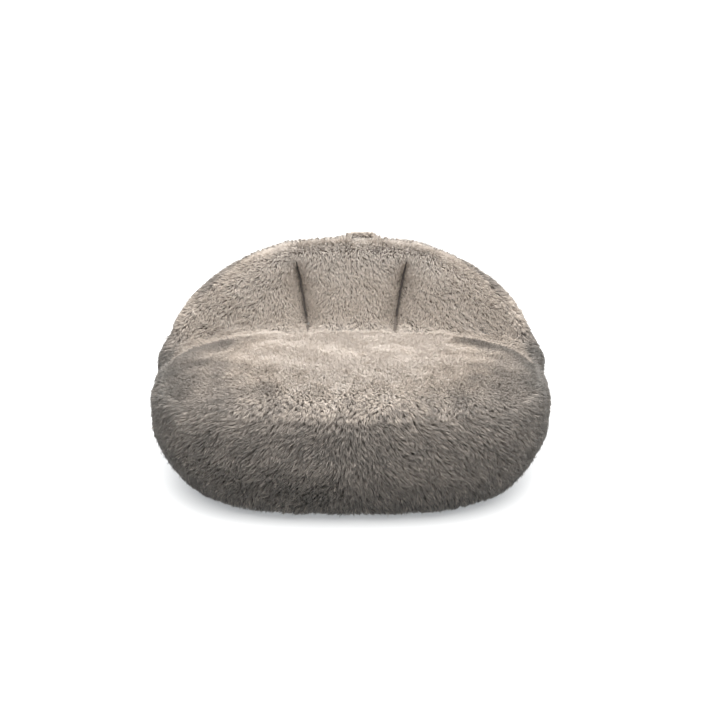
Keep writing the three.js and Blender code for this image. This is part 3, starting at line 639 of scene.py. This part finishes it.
def strand_mesh(root, knee, tip, width, tone, spin):
    """Closed tapered strands: three rings of three points and one tip each."""
    n = len(root)
    t = T_RINGS[None, :, None]
    path = (1 - t) ** 2 * root[:, None] + 2 * t * (1 - t) * knee[:, None] + t ** 2 * tip[:, None]
    along = unit(2 * (1 - t) * (knee - root)[:, None] + 2 * t * (tip - knee)[:, None])
    side = unit(np.cross(along, np.array([0.31, 0.17, 0.93])))
    other = np.cross(along, side)
    ang = spin[:, None] + np.arange(SIDES) * 2 * math.pi / SIDES
    r = 0.5 * width[:, None] * RING_WIDTH
    ring = (path[:, :, None]
            + r[:, :, None, None] * (np.cos(ang)[:, None, :, None] * side[:, :, None]
                                     + np.sin(ang)[:, None, :, None] * other[:, :, None]))
    rings, per = len(T_RINGS), len(T_RINGS) * SIDES + 1
    v = np.concatenate([ring.reshape(n, -1, 3), tip[:, None]], 1)
    v[..., 2] = np.maximum(v[..., 2], FLOOR_GAP)
    tri = []
    for i in range(rings - 1):
        for k in range(SIDES):
            a, b = i * SIDES + k, i * SIDES + (k + 1) % SIDES
            tri += [(a, b, b + SIDES), (a, b + SIDES, a + SIDES)]
    last = (rings - 1) * SIDES
    tri += [(last + k, last + (k + 1) % SIDES, per - 1) for k in range(SIDES)] + [(2, 1, 0)]
    f = (np.arange(n)[:, None, None] * per + np.array(tri)[None]).reshape(-1, 3)
    uv = np.empty((n, per, 2))
    lift = np.repeat((T_RINGS - 0.5) * TIP_LIFT, SIDES)[None]
    uv[:, :-1, 0] = tone[:, None] + np.tile(np.arange(SIDES), rings)[None] * U_STEP + lift
    uv[:, -1, 0] = tone + U_STEP + 0.5 * TIP_LIFT
    uv[..., 0] = np.clip(uv[..., 0], *TONE_LIMITS)
    uv[:, :-1, 1] = np.repeat(T_RINGS, SIDES)[None] * 0.98 + 0.01
    uv[:, -1, 1] = 0.99
    return v.reshape(-1, 3), f, uv.reshape(-1, 2)


def scatter(v, f, n, count, rng):
    """Points spread evenly over the triangles, with their normals."""
    a, b, c = v[f[:, 0]], v[f[:, 1]], v[f[:, 2]]
    area = np.linalg.norm(np.cross(b - a, c - a), axis=1)
    at = (np.arange(count) + rng.random(count)) / count
    i = np.minimum(np.searchsorted(np.cumsum(area) / area.sum(), at), len(f) - 1)
    r1, r2 = np.sqrt(rng.random(count)), rng.random(count)
    w = np.stack([1 - r1, r1 * (1 - r2), r1 * r2], 1)[:, :, None]
    t = f[i]
    return (v[t] * w).sum(1), unit((n[t] * w).sum(1))


def turned(d, n, angle):
    """Directions turned about their normals."""
    c, s = np.cos(angle)[:, None], np.sin(angle)[:, None]
    return d * c + np.cross(n, d) * s


PALE_LEFT, PALE_RIGHT, PALE_FRONT = 0.318, 0.356, 0.44  # how far the seat's patch of painted light runs
# the pile's tones by region: the seat's is painted light, and the wall, upper and back tones are the fur's
# own colour with painted light and shade in them
PALE_TONE, WALL_TONE, UPPER_TONE, BACK_TONE = 0.99, 0.39, 0.80, 0.865
SEAT_HEIGHT, SEAT_REACH = 0.0125, 0.015  # how high pile stands, and how far it leans over
BACK_HEIGHT, BACK_REACH = 0.0120, 0.0105
WALL_HEIGHT, WALL_REACH = 0.0138, 0.019
FAN_Y = 0.02  # the walls' pile fans round this line
HANDLE_X, STRAP_EDGE = 0.025, 0.031  # the strap's middle, and half the width it covers


def seat_comb(p, wall, pale):
    """The seat: combed to the front, and longer over its front edge."""
    x, y, _ = p.T
    edge = 1 - ease(y, -0.40, -0.27)
    d = np.stack([0.35 * x / 0.4 + 0.25 * wave(p, 0.16, 5), -np.ones(len(p)), -0.7 * edge], 1)
    # painted light: the seat's tone rises from the walls' tone to its lightest where the seat faces up
    tone = wall + (PALE_TONE - wall) * pale + 0.03 * wave(p, 0.12, 7)
    swirl = 0.24 * wave(p, 0.09, 6)
    return d, SEAT_HEIGHT + 0.003 * edge, SEAT_REACH + 0.014 * edge, swirl, tone, 0.10 + 0.50 * edge


def back_comb(p, n):
    """The backrest: combed down in the middle and outwards at the sides, longer at its foot."""
    x, _, z = p.T
    one = np.ones(len(p))
    foot = (1 - ease(z, 0.262, 0.300)) * (1 - ease(np.abs(x), 0.20, 0.34))
    side = ease(np.abs(x), 0.15, 0.30)
    d = np.stack([(0.25 + 0.75 * side) * np.sign(x) + 0.3 * wave(p, 0.2, 8), -0.2 * one, -1.0 * one], 1)
    swirl = 0.6 * wave(p, 0.06, 9) + 0.4 * wave(p, 0.022, 19)
    # painted shade darkens the back towards its sides, and more where the sides face up; painted light
    # lightens its top; its foot is lighter too
    tone = BACK_TONE + 0.03 * wave(p, 0.10, 10) - 0.12 * ease(np.abs(x), 0.28, 0.46)
    tone = tone + 0.07 * foot + 0.10 * ease(z, 0.38, 0.45) * (1 - side)
    tone = tone - 0.10 * side * ease(n[:, 2], 0.35, 0.80)
    reach = BACK_REACH + 0.002 * side + 0.006 * foot
    return d, BACK_HEIGHT + 0.002 * foot, reach, swirl, tone, 0.06 + 0.3 * foot


def wall_comb(p, n, wall, pale):
    """The walls and the rear: falling, fanned round from the front, and run forward over the crown."""
    x, y, z = p.T
    turn = np.arctan2(x, -(y + FAN_Y))  # 0 at the front, +-pi at the back
    h = np.stack([np.cos(turn), np.sin(turn), 0 * x], 1) * np.sign(turn)[:, None]
    mid = ease(z, 0.03, 0.12)
    fan = np.tanh(np.abs(turn) / 0.16) * (0.30 + 0.75 * mid) * np.clip(1.05 - np.abs(turn) / 2.6, 0, 1)
    lip = ease(z, 0.215, 0.262) * (1 - ease(y, -0.30, -0.15))
    fan = fan * (1 - 0.6 * lip)
    d = h * fan[:, None] + np.array([0, 0, -1.0])
    over = ease(z + 0.014 * wave(p, 0.05, 17), 0.395, 0.470)[:, None]
    d = d * (1 - over) + np.array([0, -1.0, 0.3]) * over
    swirl = 0.32 * wave(p, 0.07, 12) + 0.15 * wave(p, 0.03, 13)
    # painted light: lighter where the wall faces up and on the upper rear, partly the fur's own lighter upper
    # colour; painted shade darkens it again where the crown turns over
    tone = wall + (PALE_TONE - wall) * pale * (1 - 0.5 * ease(y, 0.0, 0.3))
    upper = ease(z + 0.012 * wave(p, 0.06, 16) + 0.05 * ease(y, 0.0, 0.12), 0.26, 0.37)
    shade = (0.30 + 0.12 * ease(np.abs(x), 0.08, 0.20)) * ease(n[:, 2], 0.25, 0.85) * ease(z, 0.34, 0.40)
    tone = tone + (UPPER_TONE - tone) * upper - shade
    height = WALL_HEIGHT + 0.002 * wave(p, 0.07, 11)
    return d, height, WALL_REACH + 0.006 * (1 - mid) + 0.008 * lip, swirl, tone, 0.38 + 0.27 * (1 - mid)


def comb(name, p, n):
    """Which way the pile lies, its height and reach, its twist, tone and clumping, over a panel."""
    x, y, z = p.T
    one = np.ones(len(p))
    # painted light: the seat is palest in its middle, where it faces up, and fades to the tone of the walls
    spread = np.hypot(x / np.where(x < 0, PALE_LEFT, PALE_RIGHT), np.minimum(y, 0) / PALE_FRONT)
    spread = spread + 0.07 * wave(p, 0.08, 3) + 0.05 * wave(p, 0.03, 4)
    spread = spread + 0.50 * ease(np.abs(x), 0.18, 0.38) * ease(y, -0.03, 0.08)
    pale = (1 - ease(spread, 0.50, 1.26)) * ease(n[:, 2] + 0.13 * wave(p, 0.05, 15), 0.72, 0.94)
    # the walls' tone: partly the fur's own darker colour, and painted shade that darkens it towards the floor
    # and towards the sides
    wall = WALL_TONE + 0.07 * wave(p, 0.09, 14) - 0.19 * (1 - ease(z, 0.02, 0.13))
    wall = wall - 0.12 * ease(np.abs(x), 0.30, 0.45)
    if name == "seat_panel":
        d, height, reach, swirl, tone, clump = seat_comb(p, wall, pale)
    elif name.startswith("back"):
        d, height, reach, swirl, tone, clump = back_comb(p, n)
    else:
        d, height, reach, swirl, tone, clump = wall_comb(p, n, wall, pale)
    height = height + 0.003 * ease(z, 0.44, 0.48)
    # shorter pile where the back's foot runs out at the sides, and painted shade darkening it there
    run_out = ease(np.abs(x), 0.400, 0.440) * ease(z, 0.235, 0.255) * (1 - ease(z, 0.30, 0.34))
    height = height - 0.004 * run_out
    tone = tone - 0.16 * ease(np.abs(x), 0.37, 0.45) * ease(z, 0.22, 0.25)
    # longer pile next to the strap's edges
    off = np.abs(x - HANDLE_X) - STRAP_EDGE
    height = height + 0.009 * np.exp(-(off / 0.020) ** 2) * ease(z, 0.462, 0.480) * (off > -0.004)
    return unit(d), height * one, reach * one, swirl, tone * one, clump * one


DENSITY = 125000  # strands in a square metre
WIDTH = 0.0017  # a strand across, at its belly
CLUMP_SIZE = 5  # strands in a lock
# how much denser than DENSITY and finer each panel's pile is, and how unevenly its locks turn
FINE = dict(back_left_panel=1.9, back_centre_panel=1.9, back_right_panel=1.9, seat_panel=1.4,
            rear_upper_panel=0.85, rear_lower_panel=0.85)
TWIST = dict(back_left_panel=0.33, back_centre_panel=0.36, back_right_panel=0.33, seat_panel=0.22)
LOW_BAND = (0.02, 0.12)  # the wall's bottom, with mixed dark and light strands
BROW = (-0.40, -0.30)  # the seat's front edge, with uneven locks
DART_SHADE = 0.019  # the pile is short and darkened with painted shade this near to a dart
SLOT_HALF = 0.236  # half the length over which the zip's slot stays clear


def grow(name, v, f, n, mat, rng):
    """The pile of one panel, in pieces of a size that every tool takes."""
    thin = 1.0
    area = 0.5 * np.linalg.norm(np.cross(v[f[:, 1]] - v[f[:, 0]], v[f[:, 2]] - v[f[:, 0]]), axis=1).sum()
    fine = FINE.get(name, 1.0)
    count = int(area * DENSITY * thin * fine)
    root, nor = scatter(v, f, n, count, rng)
    centre, cnor = scatter(v, f, n, max(8, count // CLUMP_SIZE), rng)
    tree = KDTree(len(centre))
    for i, p in enumerate(centre):
        tree.insert(p, i)
    tree.balance()
    own = np.array([tree.find(p)[1] for p in root])

    def tangent(d, at):
        return unit(d - at * (d * at).sum(1, keepdims=True))

    m = len(centre)
    d, h, r, swirl, tone, clump = comb(name, centre, cnor)
    ctwist = swirl + rng.normal(0, TWIST.get(name, 0.30), m)
    ch = h * rng.uniform(0.82, 1.18, m)
    cr = r * rng.uniform(0.8, 1.25, m)
    clean = turned(tangent(d, cnor), cnor, ctwist)
    ctip = centre + cnor * ch[:, None] + clean * cr[:, None]
    ctone = rng.normal(0, 0.045 if name not in TWIST else 0.025, m)

    d, h, r, swirl, tone, clump = comb(name, root, nor)
    lean = turned(tangent(d, nor), nor, 0.5 * swirl + 0.5 * ctwist[own] + rng.normal(0, 0.16, count))
    h = h * rng.uniform(0.78, 1.15, count)
    r = r * rng.uniform(0.75, 1.2, count)
    x, y, z = root.T
    low = 1 - ease(z, *LOW_BAND)
    brow = (name == "seat_panel") * (1 - ease(y, *BROW))
    uneven = 0.026 + 0.034 * (name not in TWIST) + 0.08 * low
    tone = tone + ctone[own] * (1 + 2.2 * low + 3.0 * brow) + rng.normal(0, 1, count) * uneven
    tone = tone + 0.42 * (rng.random(count) < 0.27 * low)
    fly = rng.random(count) < 0.05
    h = np.where(fly, h + rng.uniform(0.003, 0.009, count), h)

    # the darts: pile parted to both sides of the seam, short next to it and darkened there with painted shade
    near, dx = dart_gap(root)
    near = near * name.startswith("back")
    close = near * np.exp(-np.abs(dx) / DART_SHADE)
    away = np.stack([np.sign(x) * np.sign(dx), 0 * dx, -0.35 + 0 * dx], 1)
    mixed = tangent(lean * (1 - close)[:, None] + unit(away) * (2.2 * close)[:, None], nor)
    lean = np.where(close[:, None] > 0.05, mixed, lean)
    h = h * (1 - 0.55 * close)
    r = r * (1 - 0.35 * close)
    tone = tone - 0.20 * close
    keep = ~((near > 0.3) & (np.abs(dx) < 0.0014))

    # no pile hangs into the zip's slot, and longer pile covers its ends;
    # the strap and the label press the pile down
    at_rear = y > 0.2
    slot = at_rear & (np.abs(x) < SLOT_HALF)
    above = slot & (z > ZIP_Z + 0.014) & (z < ZIP_Z + 0.055)
    r = np.where(above, np.minimum(r, np.maximum(0.35 * (z - ZIP_Z - 0.0115), 0.001)), r)
    ends = at_rear & (np.abs(np.abs(x) - SLOT_HALF - 0.020) < 0.022) & (np.abs(z - ZIP_Z - 0.016) < 0.018)
    r = np.where(ends, 1.7 * r, r)
    by_strap = (np.abs(x - HANDLE_X) < 0.030) & (y > 0.245) & (z > 0.40)
    arch = by_strap & (y > 0.280) & (z > 0.452)
    h = np.where(by_strap, np.where(arch, h, 0.5 * h), h)
    tag = (y > 0.3) & (x > LABEL_X[0] - 0.004) & (x < LABEL_X[1] + 0.004)
    tag &= (z < LABEL_TOP + 0.004) & (z > LABEL_LOW + 0.004)
    h = np.where(tag, 0.6 * h, h)

    tip = root + nor * h[:, None] + lean * r[:, None]
    share = (clump * rng.uniform(0.6, 1.2, count) * (1 - close))[:, None]
    share = np.where(above[:, None], 0.1, np.clip(share, 0, 0.85))
    tip = tip * (1 - share) + ctip[own] * share
    knee = root + nor * (0.92 * h)[:, None] + lean * (0.22 * r)[:, None]
    knee = knee * (1 - 0.3 * share) + (centre + cnor * ch[:, None] * 0.9)[own] * (0.3 * share)
    tip[:, 2] += np.where(above, np.maximum(0, ZIP_Z + 0.0125 - tip[:, 2]), 0)

    # pile that meets the floor bends outwards along it
    floor = np.maximum(0, 0.0015 - tip[:, 2])
    tip[:, :2] += unit(root[:, :2]) * (0.7 * floor)[:, None]
    tip[:, 2] = np.maximum(tip[:, 2], 3 * FLOOR_GAP)
    knee[:, 2] = np.maximum(knee[:, 2], 3 * FLOOR_GAP)

    width = WIDTH * rng.uniform(0.75, 1.25, count) / math.sqrt(thin) / fine ** 0.45
    tone = np.clip(tone, 0.02, 0.96)
    spin = rng.uniform(0, 2 * math.pi, count)
    root = root - nor * 0.0006
    keep &= root[:, 2] > 0.002
    pick = np.flatnonzero(keep)
    # neighbours stay together, so that each piece is one patch of the panel
    across = 1 if name in ("left_wall_panel", "right_wall_panel") else 0
    pick = pick[np.argsort(root[pick, across], kind="stable")]
    groups = np.array_split(pick, max(1, math.ceil(len(pick) / STRANDS_PER_PIECE)))
    for i, g in enumerate(groups):
        sv, sf, uv = strand_mesh(root[g], knee[g], tip[g], width[g], tone[g], spin[g])
        label = name.replace("_panel", "_pile") + (f"_{i + 1}" if len(groups) > 1 else "")
        make(label, sv, sf, mat, name, uv=uv)


def build_cover(fur, pelt):
    rng = np.random.default_rng(SEED)
    v, f, panel = cover()
    held = seams(v, f, panel)
    n = unit(gradient(v))
    near, dx = dart_gap(v)
    shallow = 0.5 * near * np.exp(-np.abs(dx) / 0.018)
    inner = v - n * (PILE * (1 - shallow))[:, None]
    slack = REST * (~held)
    inner = swollen(inner - n * slack[:, None], f, held | (inner[:, 2] < FLOOR_HOLD))
    n = normals(inner, f)
    for i, name in enumerate(PANELS):
        pv, pf, used = only(inner, f[panel == i])
        sv, sf = shell(pv, pf, PELT, n[used])
        sheet = make(name + "_backing", sv, sf, pelt, name)
        grow(name, pv, pf, n[used], fur, rng)


# ---- the inner bag and its filling ----
LINER_DEPTH, BEAD_DEPTH = 0.0205, 0.0250  # how far under the chair's surface they end


def build_inside():
    taffeta = weave_material("liner_taffeta", (0.62, 0.61, 0.58), (0.46, 0.45, 0.43), 0.0012, 0.55, 0.1)
    beads = grain_material("polystyrene_beads", (0.86, 0.86, 0.84), (0.62, 0.62, 0.60), 210.0, 0.6,
                           depth=0.0012, kind="ShaderNodeTexVoronoi")
    for name in ("liner_top", "liner_wall", "liner_base"):
        v, f = split(*welded(name), 1)
        crease = 0.0004 * wave(v, 0.05, 31) + 0.0003 * wave(v, 0.022, 32)
        v = moved_to(v + normals(v, f) * crease[:, None], np.minimum, -LINER_DEPTH)
        piece = make(name + "_cloth", v, f, taffeta, name)
    v, f = split(*welded("bead_fill"), 2)
    lump = 0.0006 * wave(v, 0.03, 33) + 0.0005 * wave(v, 0.014, 34)
    v = moved_to(v + normals(v, f) * (lump - 0.0006)[:, None], np.minimum, -BEAD_DEPTH)
    piece = make("bead_fill_beads", v, f, beads, "bead_fill")


# ---- dart stitching ----
def stitch_row(path, length, gap, radius, lift=0.0):
    """Separate stitches that dip into the cloth at both ends."""
    step = np.linalg.norm(np.diff(path, axis=0), axis=1)
    at = np.concatenate([[0], np.cumsum(step)])
    parts = []
    for k in range(int(at[-1] / (length + gap))):
        s = k * (length + gap) + np.linspace(0, length, 6)
        p = np.stack([np.interp(s, at, path[:, j]) for j in range(3)], 1)
        dip = np.sin(np.linspace(0, math.pi, 6))
        p[:, 1] += lift * dip
        parts.append(tube(p, radius * (0.55 + 0.45 * dip), 6))
    return joined(parts)


def build_darts():
    thread = thread_material("dart_thread", (0.060, 0.050, 0.043), (0.022, 0.018, 0.016), 0.8, 0.1)
    for name, side in (("left_dart_stitching", -1), ("right_dart_stitching", 1)):
        v, _ = welded(name)
        z = np.linspace(v[:, 2].min() + 0.001, v[:, 2].max() - 0.001, 60)
        pts = np.stack([np.polyval(np.polyfit(v[:, 2], v[:, k], 4), z) for k in (0, 1)] + [z], 1)
        pts[:, 0] += 0.0016 * wave(pts, 0.02, 41 + side)
        core = tube(pts, 0.0017, 8)
        over = stitch_row(pts, 0.0052, 0.0012, 0.0011, lift=-0.0016)
        make(name + "_thread", *joined([core, over]), thread, name)


# ---- carry handle ----
HANDLE_FRONT, HANDLE_HALF = 0.262, 0.028  # where its front end is sewn down, and half its width
HANDLE_SLACK = (0.0065, 0.010, 0.0075)  # how far it stands off the crown at three points
STITCH_INSET = 0.0185  # from its middle to the sewn frame's sides
STRAP_DENSITY = 230000  # strands in a square metre of strap


def sweep(path, side, up, profile):
    """A closed bar: the profile's (side, up) offsets carried along a path."""
    prof = np.asarray(profile, float)
    m = len(prof)
    ring = path[:, None] + prof[None, :, :1] * side[:, None] + prof[None, :, 1:] * up[:, None]
    v = np.concatenate([ring.reshape(-1, 3), ring[0].mean(0)[None], ring[-1].mean(0)[None]])
    f = ring_faces(len(path), m)
    a, b, c = v[f[:, 0]], v[f[:, 1]], v[f[:, 2]]
    inwards = (np.cross(b - a, c - a) * (a + b + c - 3 * v.mean(0))).sum() < 0
    return v, f[:, ::-1] if inwards else f


STRAP_POINTS, STRAP_ROUNDING = 20, 4.0  # points round the strap's section, and how square it is


def rounded(half_w, half_t, lift, count=STRAP_POINTS, power=STRAP_ROUNDING):
    """A flat bar's rounded section, as (side, up) offsets."""
    ang = np.arange(count) * 2 * math.pi / count
    c, s = (np.sign(q) * np.abs(q) ** (2 / power) for q in (np.cos(ang), np.sin(ang)))
    return np.stack([half_w * c, lift + half_t * s], 1)


def handle_path(count):
    """The strap's own line over the crown, as the solid has it."""
    def top(y):
        return hit((0, y, 0.75), (0, 0, -1))

    def rear(z):
        return hit((0, 0.9, z), (0, -1, 0))

    def lifted(p, h):
        return p + unit(gradient(p[None]))[0] * h

    a2, b2 = top(HANDLE_FRONT + 0.020), rear(0.455)
    pts = [lifted(top(HANDLE_FRONT), 0.0012), lifted(a2, 0.0014)]
    for t, h in zip((0.25, 0.5, 0.75), HANDLE_SLACK):
        pts.append(lifted(top(min(a2[1] + (b2[1] - a2[1]) * t, 0.380)), h))
    pts += [lifted(b2, 0.0014), lifted(rear(0.432), 0.0012)]
    path = resampled(pts, count)
    path[:, 0] = HANDLE_X
    tangent = unit(np.gradient(path, axis=0))
    up = np.stack([0 * tangent[:, 0], -tangent[:, 2], tangent[:, 1]], 1)
    return path, up


def build_handle(fur):
    webbing = weave_material("handle_backing_twill", (0.30, 0.26, 0.22), (0.15, 0.13, 0.11), 0.0014,
                             twill=True)
    thread = thread_material("handle_thread", (0.20, 0.17, 0.145), (0.10, 0.085, 0.07), 0.75, 0.1)
    path, up = handle_path(64)
    side = np.tile([1.0, 0, 0], (len(path), 1))
    v, f = sweep(path, side, up, rounded(HANDLE_HALF, 0.0024, 0.0032))
    nearest = np.clip(np.arange(len(v)) // STRAP_POINTS, 0, len(path) - 1)
    v = v + up[nearest] * (0.0006 * wave(v, 0.03, 51))[:, None]
    make("carry_handle_strap", v, f, webbing, "carry_handle")

    rng = np.random.default_rng(SEED + 7)
    n = normals(v, f)
    area = 0.5 * np.linalg.norm(np.cross(v[f[:, 1]] - v[f[:, 0]], v[f[:, 2]] - v[f[:, 0]]), axis=1).sum()
    root, nor = scatter(v, f, n, int(area * STRAP_DENSITY), rng)
    at = np.abs(root[:, None, 1:] - path[None, :, 1:]).sum(-1).argmin(1)
    facing = (nor * up[at]).sum(1)
    along = at / (len(path) - 1)
    off = np.abs(np.abs(root[:, 0] - HANDLE_X) - STITCH_INSET)
    keep = (facing > -0.75) & ~(((along < 0.13) | (along > 0.87)) & (off < 0.0018))
    root, nor, at, along = root[keep], nor[keep], at[keep], along[keep]
    m = len(root)
    lean = unit(np.stack([(root[:, 0] - HANDLE_X) / 0.02 + rng.normal(0, 0.7, m), rng.normal(-0.3, 0.7, m),
                          rng.normal(-0.2, 0.4, m)], 1))
    lean = unit(lean - nor * (lean * nor).sum(1, keepdims=True))
    h, r = rng.uniform(0.0050, 0.0095, m), rng.uniform(0.006, 0.013, m)
    tip = root + nor * h[:, None] + lean * r[:, None]
    knee = root + nor * (0.9 * h)[:, None] + lean * (0.25 * r)[:, None]
    tone = np.clip(0.80 + 0.05 * wave(root, 0.02, 52) + rng.normal(0, 0.05, m), 0.02, 0.96)
    sv, sf, uv = strand_mesh(root - nor * 0.0004, knee, tip, WIDTH * rng.uniform(0.6, 1.0, m), tone,
                             rng.uniform(0, 6.28, m))
    make("carry_handle_pile", sv, sf, fur, "carry_handle", uv=uv)

    for name, t0, t1 in (("handle_front_stitching", 0.02, 0.12), ("handle_rear_stitching", 0.88, 0.98)):
        def sewn(t, x):
            i = np.clip(np.asarray(t) * (len(path) - 1), 0, len(path) - 1)
            p = np.stack([np.interp(i, np.arange(len(path)), path[:, k]) for k in range(3)], 1)
            u = np.stack([np.interp(i, np.arange(len(path)), up[:, k]) for k in range(3)], 1)
            p[:, 0] = HANDLE_X + x
            return p + u * 0.0060
        w = STITCH_INSET
        corners = [(t0, -w), (t0, w), (t1, w), (t1, -w), (t0, -w), (t1, w), (t1, -w), (t0, w)]
        rows = []
        for (ta, xa), (tb, xb) in zip(corners, corners[1:]):
            s = np.linspace(0, 1, 30)
            rows.append(stitch_row(sewn(ta + (tb - ta) * s, xa + (xb - xa) * s), 0.0032, 0.0008, 0.0006))
        make(name + "_thread", *joined(rows), thread, name)


# ---- zip ----
ZIP_AXIS_Y, ZIP_R, ZIP_Z = -0.840552, 1.281357, 0.150  # the zip lies on one upright arc
ZIP_HALF_ANGLE, TOOTH_ANGLE = 0.183499, 0.175695
TAPE_POINTS, TAPE_Z, TAPE_THICK = (170, 14), (0.0007, 0.0134), 0.0012
TAPE_OVERLAP = 1.07  # the tape's ends are tucked into the slot's ends
TOOTH_PITCH, TOOTH_SIDES = 0.0024, 8
# a tooth's rings, from the zip's line to the tape: where each lies, half its width and half its thickness
TOOTH_Z = np.array([0.00042, 0.00075, 0.0012, 0.0018, 0.0032])
TOOTH_W = np.array([0.00035, 0.00078, 0.00078, 0.00045, 0.00060])
TOOTH_T = np.array([0.00045, 0.00085, 0.00092, 0.00080, 0.00092])


def polar(r, a, z):
    """Points about the zip's upright axis."""
    r, a, z = np.broadcast_arrays(r, a, z)
    return np.stack([np.sin(a) * r, ZIP_AXIS_Y + np.cos(a) * r, z], -1)


def grid_faces(nu, nv):
    """Triangles over a grid of points."""
    i, j = (q.ravel() for q in np.meshgrid(np.arange(nu - 1), np.arange(nv - 1), indexing="ij"))
    a = i * nv + j
    return np.concatenate([np.stack([a, a + nv, a + nv + 1], 1), np.stack([a, a + nv + 1, a + 1], 1)])


def facing_out(v, f, way):
    """The triangles wound so that their normals agree with a direction."""
    return f if (normals(v, f) * way).sum() > 0 else f[:, ::-1]


def build_zip():
    tape = weave_material("zip_tape_weave", (0.105, 0.095, 0.086), (0.040, 0.036, 0.033), 0.0011, 0.85,
                          0.25, twill=True)
    nylon = grain_material("zip_teeth_nylon", (0.070, 0.064, 0.058), (0.034, 0.030, 0.028), 260.0, 0.42)
    metal = grain_material("zip_brushed_nickel", (0.62, 0.60, 0.56), (0.42, 0.405, 0.38), 420.0, 0.32, 1.0,
                           stretch=(1, 1, 9), depth=0.00004)
    thread = thread_material("zip_thread", (0.13, 0.115, 0.10), (0.06, 0.053, 0.047), 0.8, 0.0)
    for name, way in (("zip_tape_upper", 1), ("zip_tape_lower", -1)):
        a = np.linspace(-ZIP_HALF_ANGLE, ZIP_HALF_ANGLE, TAPE_POINTS[0]) * TAPE_OVERLAP
        aa, zz = (q.ravel() for q in np.meshgrid(a, np.linspace(*TAPE_Z, TAPE_POINTS[1]), indexing="ij"))
        base = polar(ZIP_R, aa, ZIP_Z + way * zz)
        loose = ease(zz, 0.0062, 0.0125)  # the tape's sewn edge ripples
        v = polar(ZIP_R + 0.0011 * loose * wave(base, 0.035, 61 + way) + 0.0012 * loose, aa, ZIP_Z + way * zz)
        out = unit(v - np.array([0, ZIP_AXIS_Y, 0]))
        out[:, 2] = 0
        f = facing_out(v, grid_faces(*TAPE_POINTS), out)
        make(name + "_cloth", *shell(v, f, TAPE_THICK, unit(out)), tape, name)
        line = np.linspace(-ZIP_HALF_ANGLE, ZIP_HALF_ANGLE, 400) * 0.976
        row = polar(ZIP_R + 0.0006, line, ZIP_Z + way * 0.0072)
        make(name + "_seam", *stitch_row(row, 0.0026, 0.0010, 0.00035), thread, name)

    count = int(2 * TOOTH_ANGLE * ZIP_R / TOOTH_PITCH) - 1
    ang = (np.arange(TOOTH_SIDES) + 0.5) * 2 * math.pi / TOOTH_SIDES
    f = ring_faces(len(TOOTH_Z), TOOTH_SIDES)
    for name, way, shift in (("zip_teeth_upper", 1, 0.0), ("zip_teeth_lower", -1, 0.5)):
        parts = []
        for k in range(count):
            a = -TOOTH_ANGLE + (k + 0.75 + shift) * TOOTH_PITCH / ZIP_R
            da = TOOTH_W[:, None] * np.cos(ang)[None] * 1.08 / ZIP_R
            r = ZIP_R + 0.0012 + TOOTH_T[:, None] * np.sin(ang)[None] * 1.06
            v = polar(r, a + da, (ZIP_Z + way * TOOTH_Z)[:, None]).reshape(-1, 3)
            v = np.concatenate([v, v[:TOOTH_SIDES].mean(0)[None], v[-TOOTH_SIDES:].mean(0)[None]])
            parts.append((v, facing_out(v, f, v - v.mean(0))))
        make(name + "_row", *joined(parts), nylon, name)
    for node in ("zip_stop_closed", "zip_stop_open", "zip_slider", "zip_pull"):
        repaint(node, metal)


# ---- care label and base ----
LABEL_X, LABEL_TOP, LABEL_LOW = (-0.176, -0.134), 0.1346, 0.0863
LABEL_POINTS = 22, 30


def build_label():
    satin = weave_material("care_label_satin", (0.80, 0.78, 0.73), (0.66, 0.64, 0.60), 0.0006, 0.5, 0.2,
                           0.0001)
    nu, nv = LABEL_POINTS
    x, z = np.linspace(*LABEL_X, nu), np.linspace(LABEL_TOP, LABEL_LOW, nv)
    v = np.array([[hit((x[i], 0.6, z[j]), (0, -1, 0), 0.4, 400) for j in range(nv)] for i in range(nu)])
    u, w = np.meshgrid(np.linspace(-1, 1, nu), np.linspace(0, 1, nv), indexing="ij")
    tuck = np.clip(1 - w / 0.16, 0, 1)  # its sewn end turns in under the zip
    v[..., 1] += 0.0018 - 0.0125 * tuck ** 1.6 + 0.0030 * w ** 2 * u ** 2 + 0.0007 * np.sin(5 * w + 2 * u)
    v[..., 0] += 0.0010 * w * np.sin(3 * w)
    v = v.reshape(-1, 3)
    f = facing_out(v, grid_faces(nu, nv), np.array([0, 1.0, 0]))
    piece = make("care_label_sheet", *shell(v, f, 0.0004), satin, "care_label")


def build_base():
    canvas = weave_material("base_canvas", (0.150, 0.136, 0.122), (0.070, 0.063, 0.056), 0.0018, 0.92, 0.1)
    v, f = split(*welded("base_panel"), 2)
    under = v[:, 2] < 0.001
    v[:, 2] += np.where(under, 0.0004 + 0.0004 * wave(v, 0.06, 71), 0.0006 * wave(v, 0.05, 72) - 0.0008)
    cloth = make("base_panel_canvas", v, f, canvas, "base_panel")


camera_and_light()
fur = fur_material()
# the backing's own colour, darkened as painted shade so that it shows as the deep shadow between the strands
pelt = weave_material("fur_backing_knit", (0.260, 0.228, 0.198), (0.130, 0.112, 0.097), 0.0022, 0.95, 0.3)
build_cover(fur, pelt)
build_inside()
build_darts()
build_handle(fur)
build_zip()
build_label()
build_base()
studio_floor()
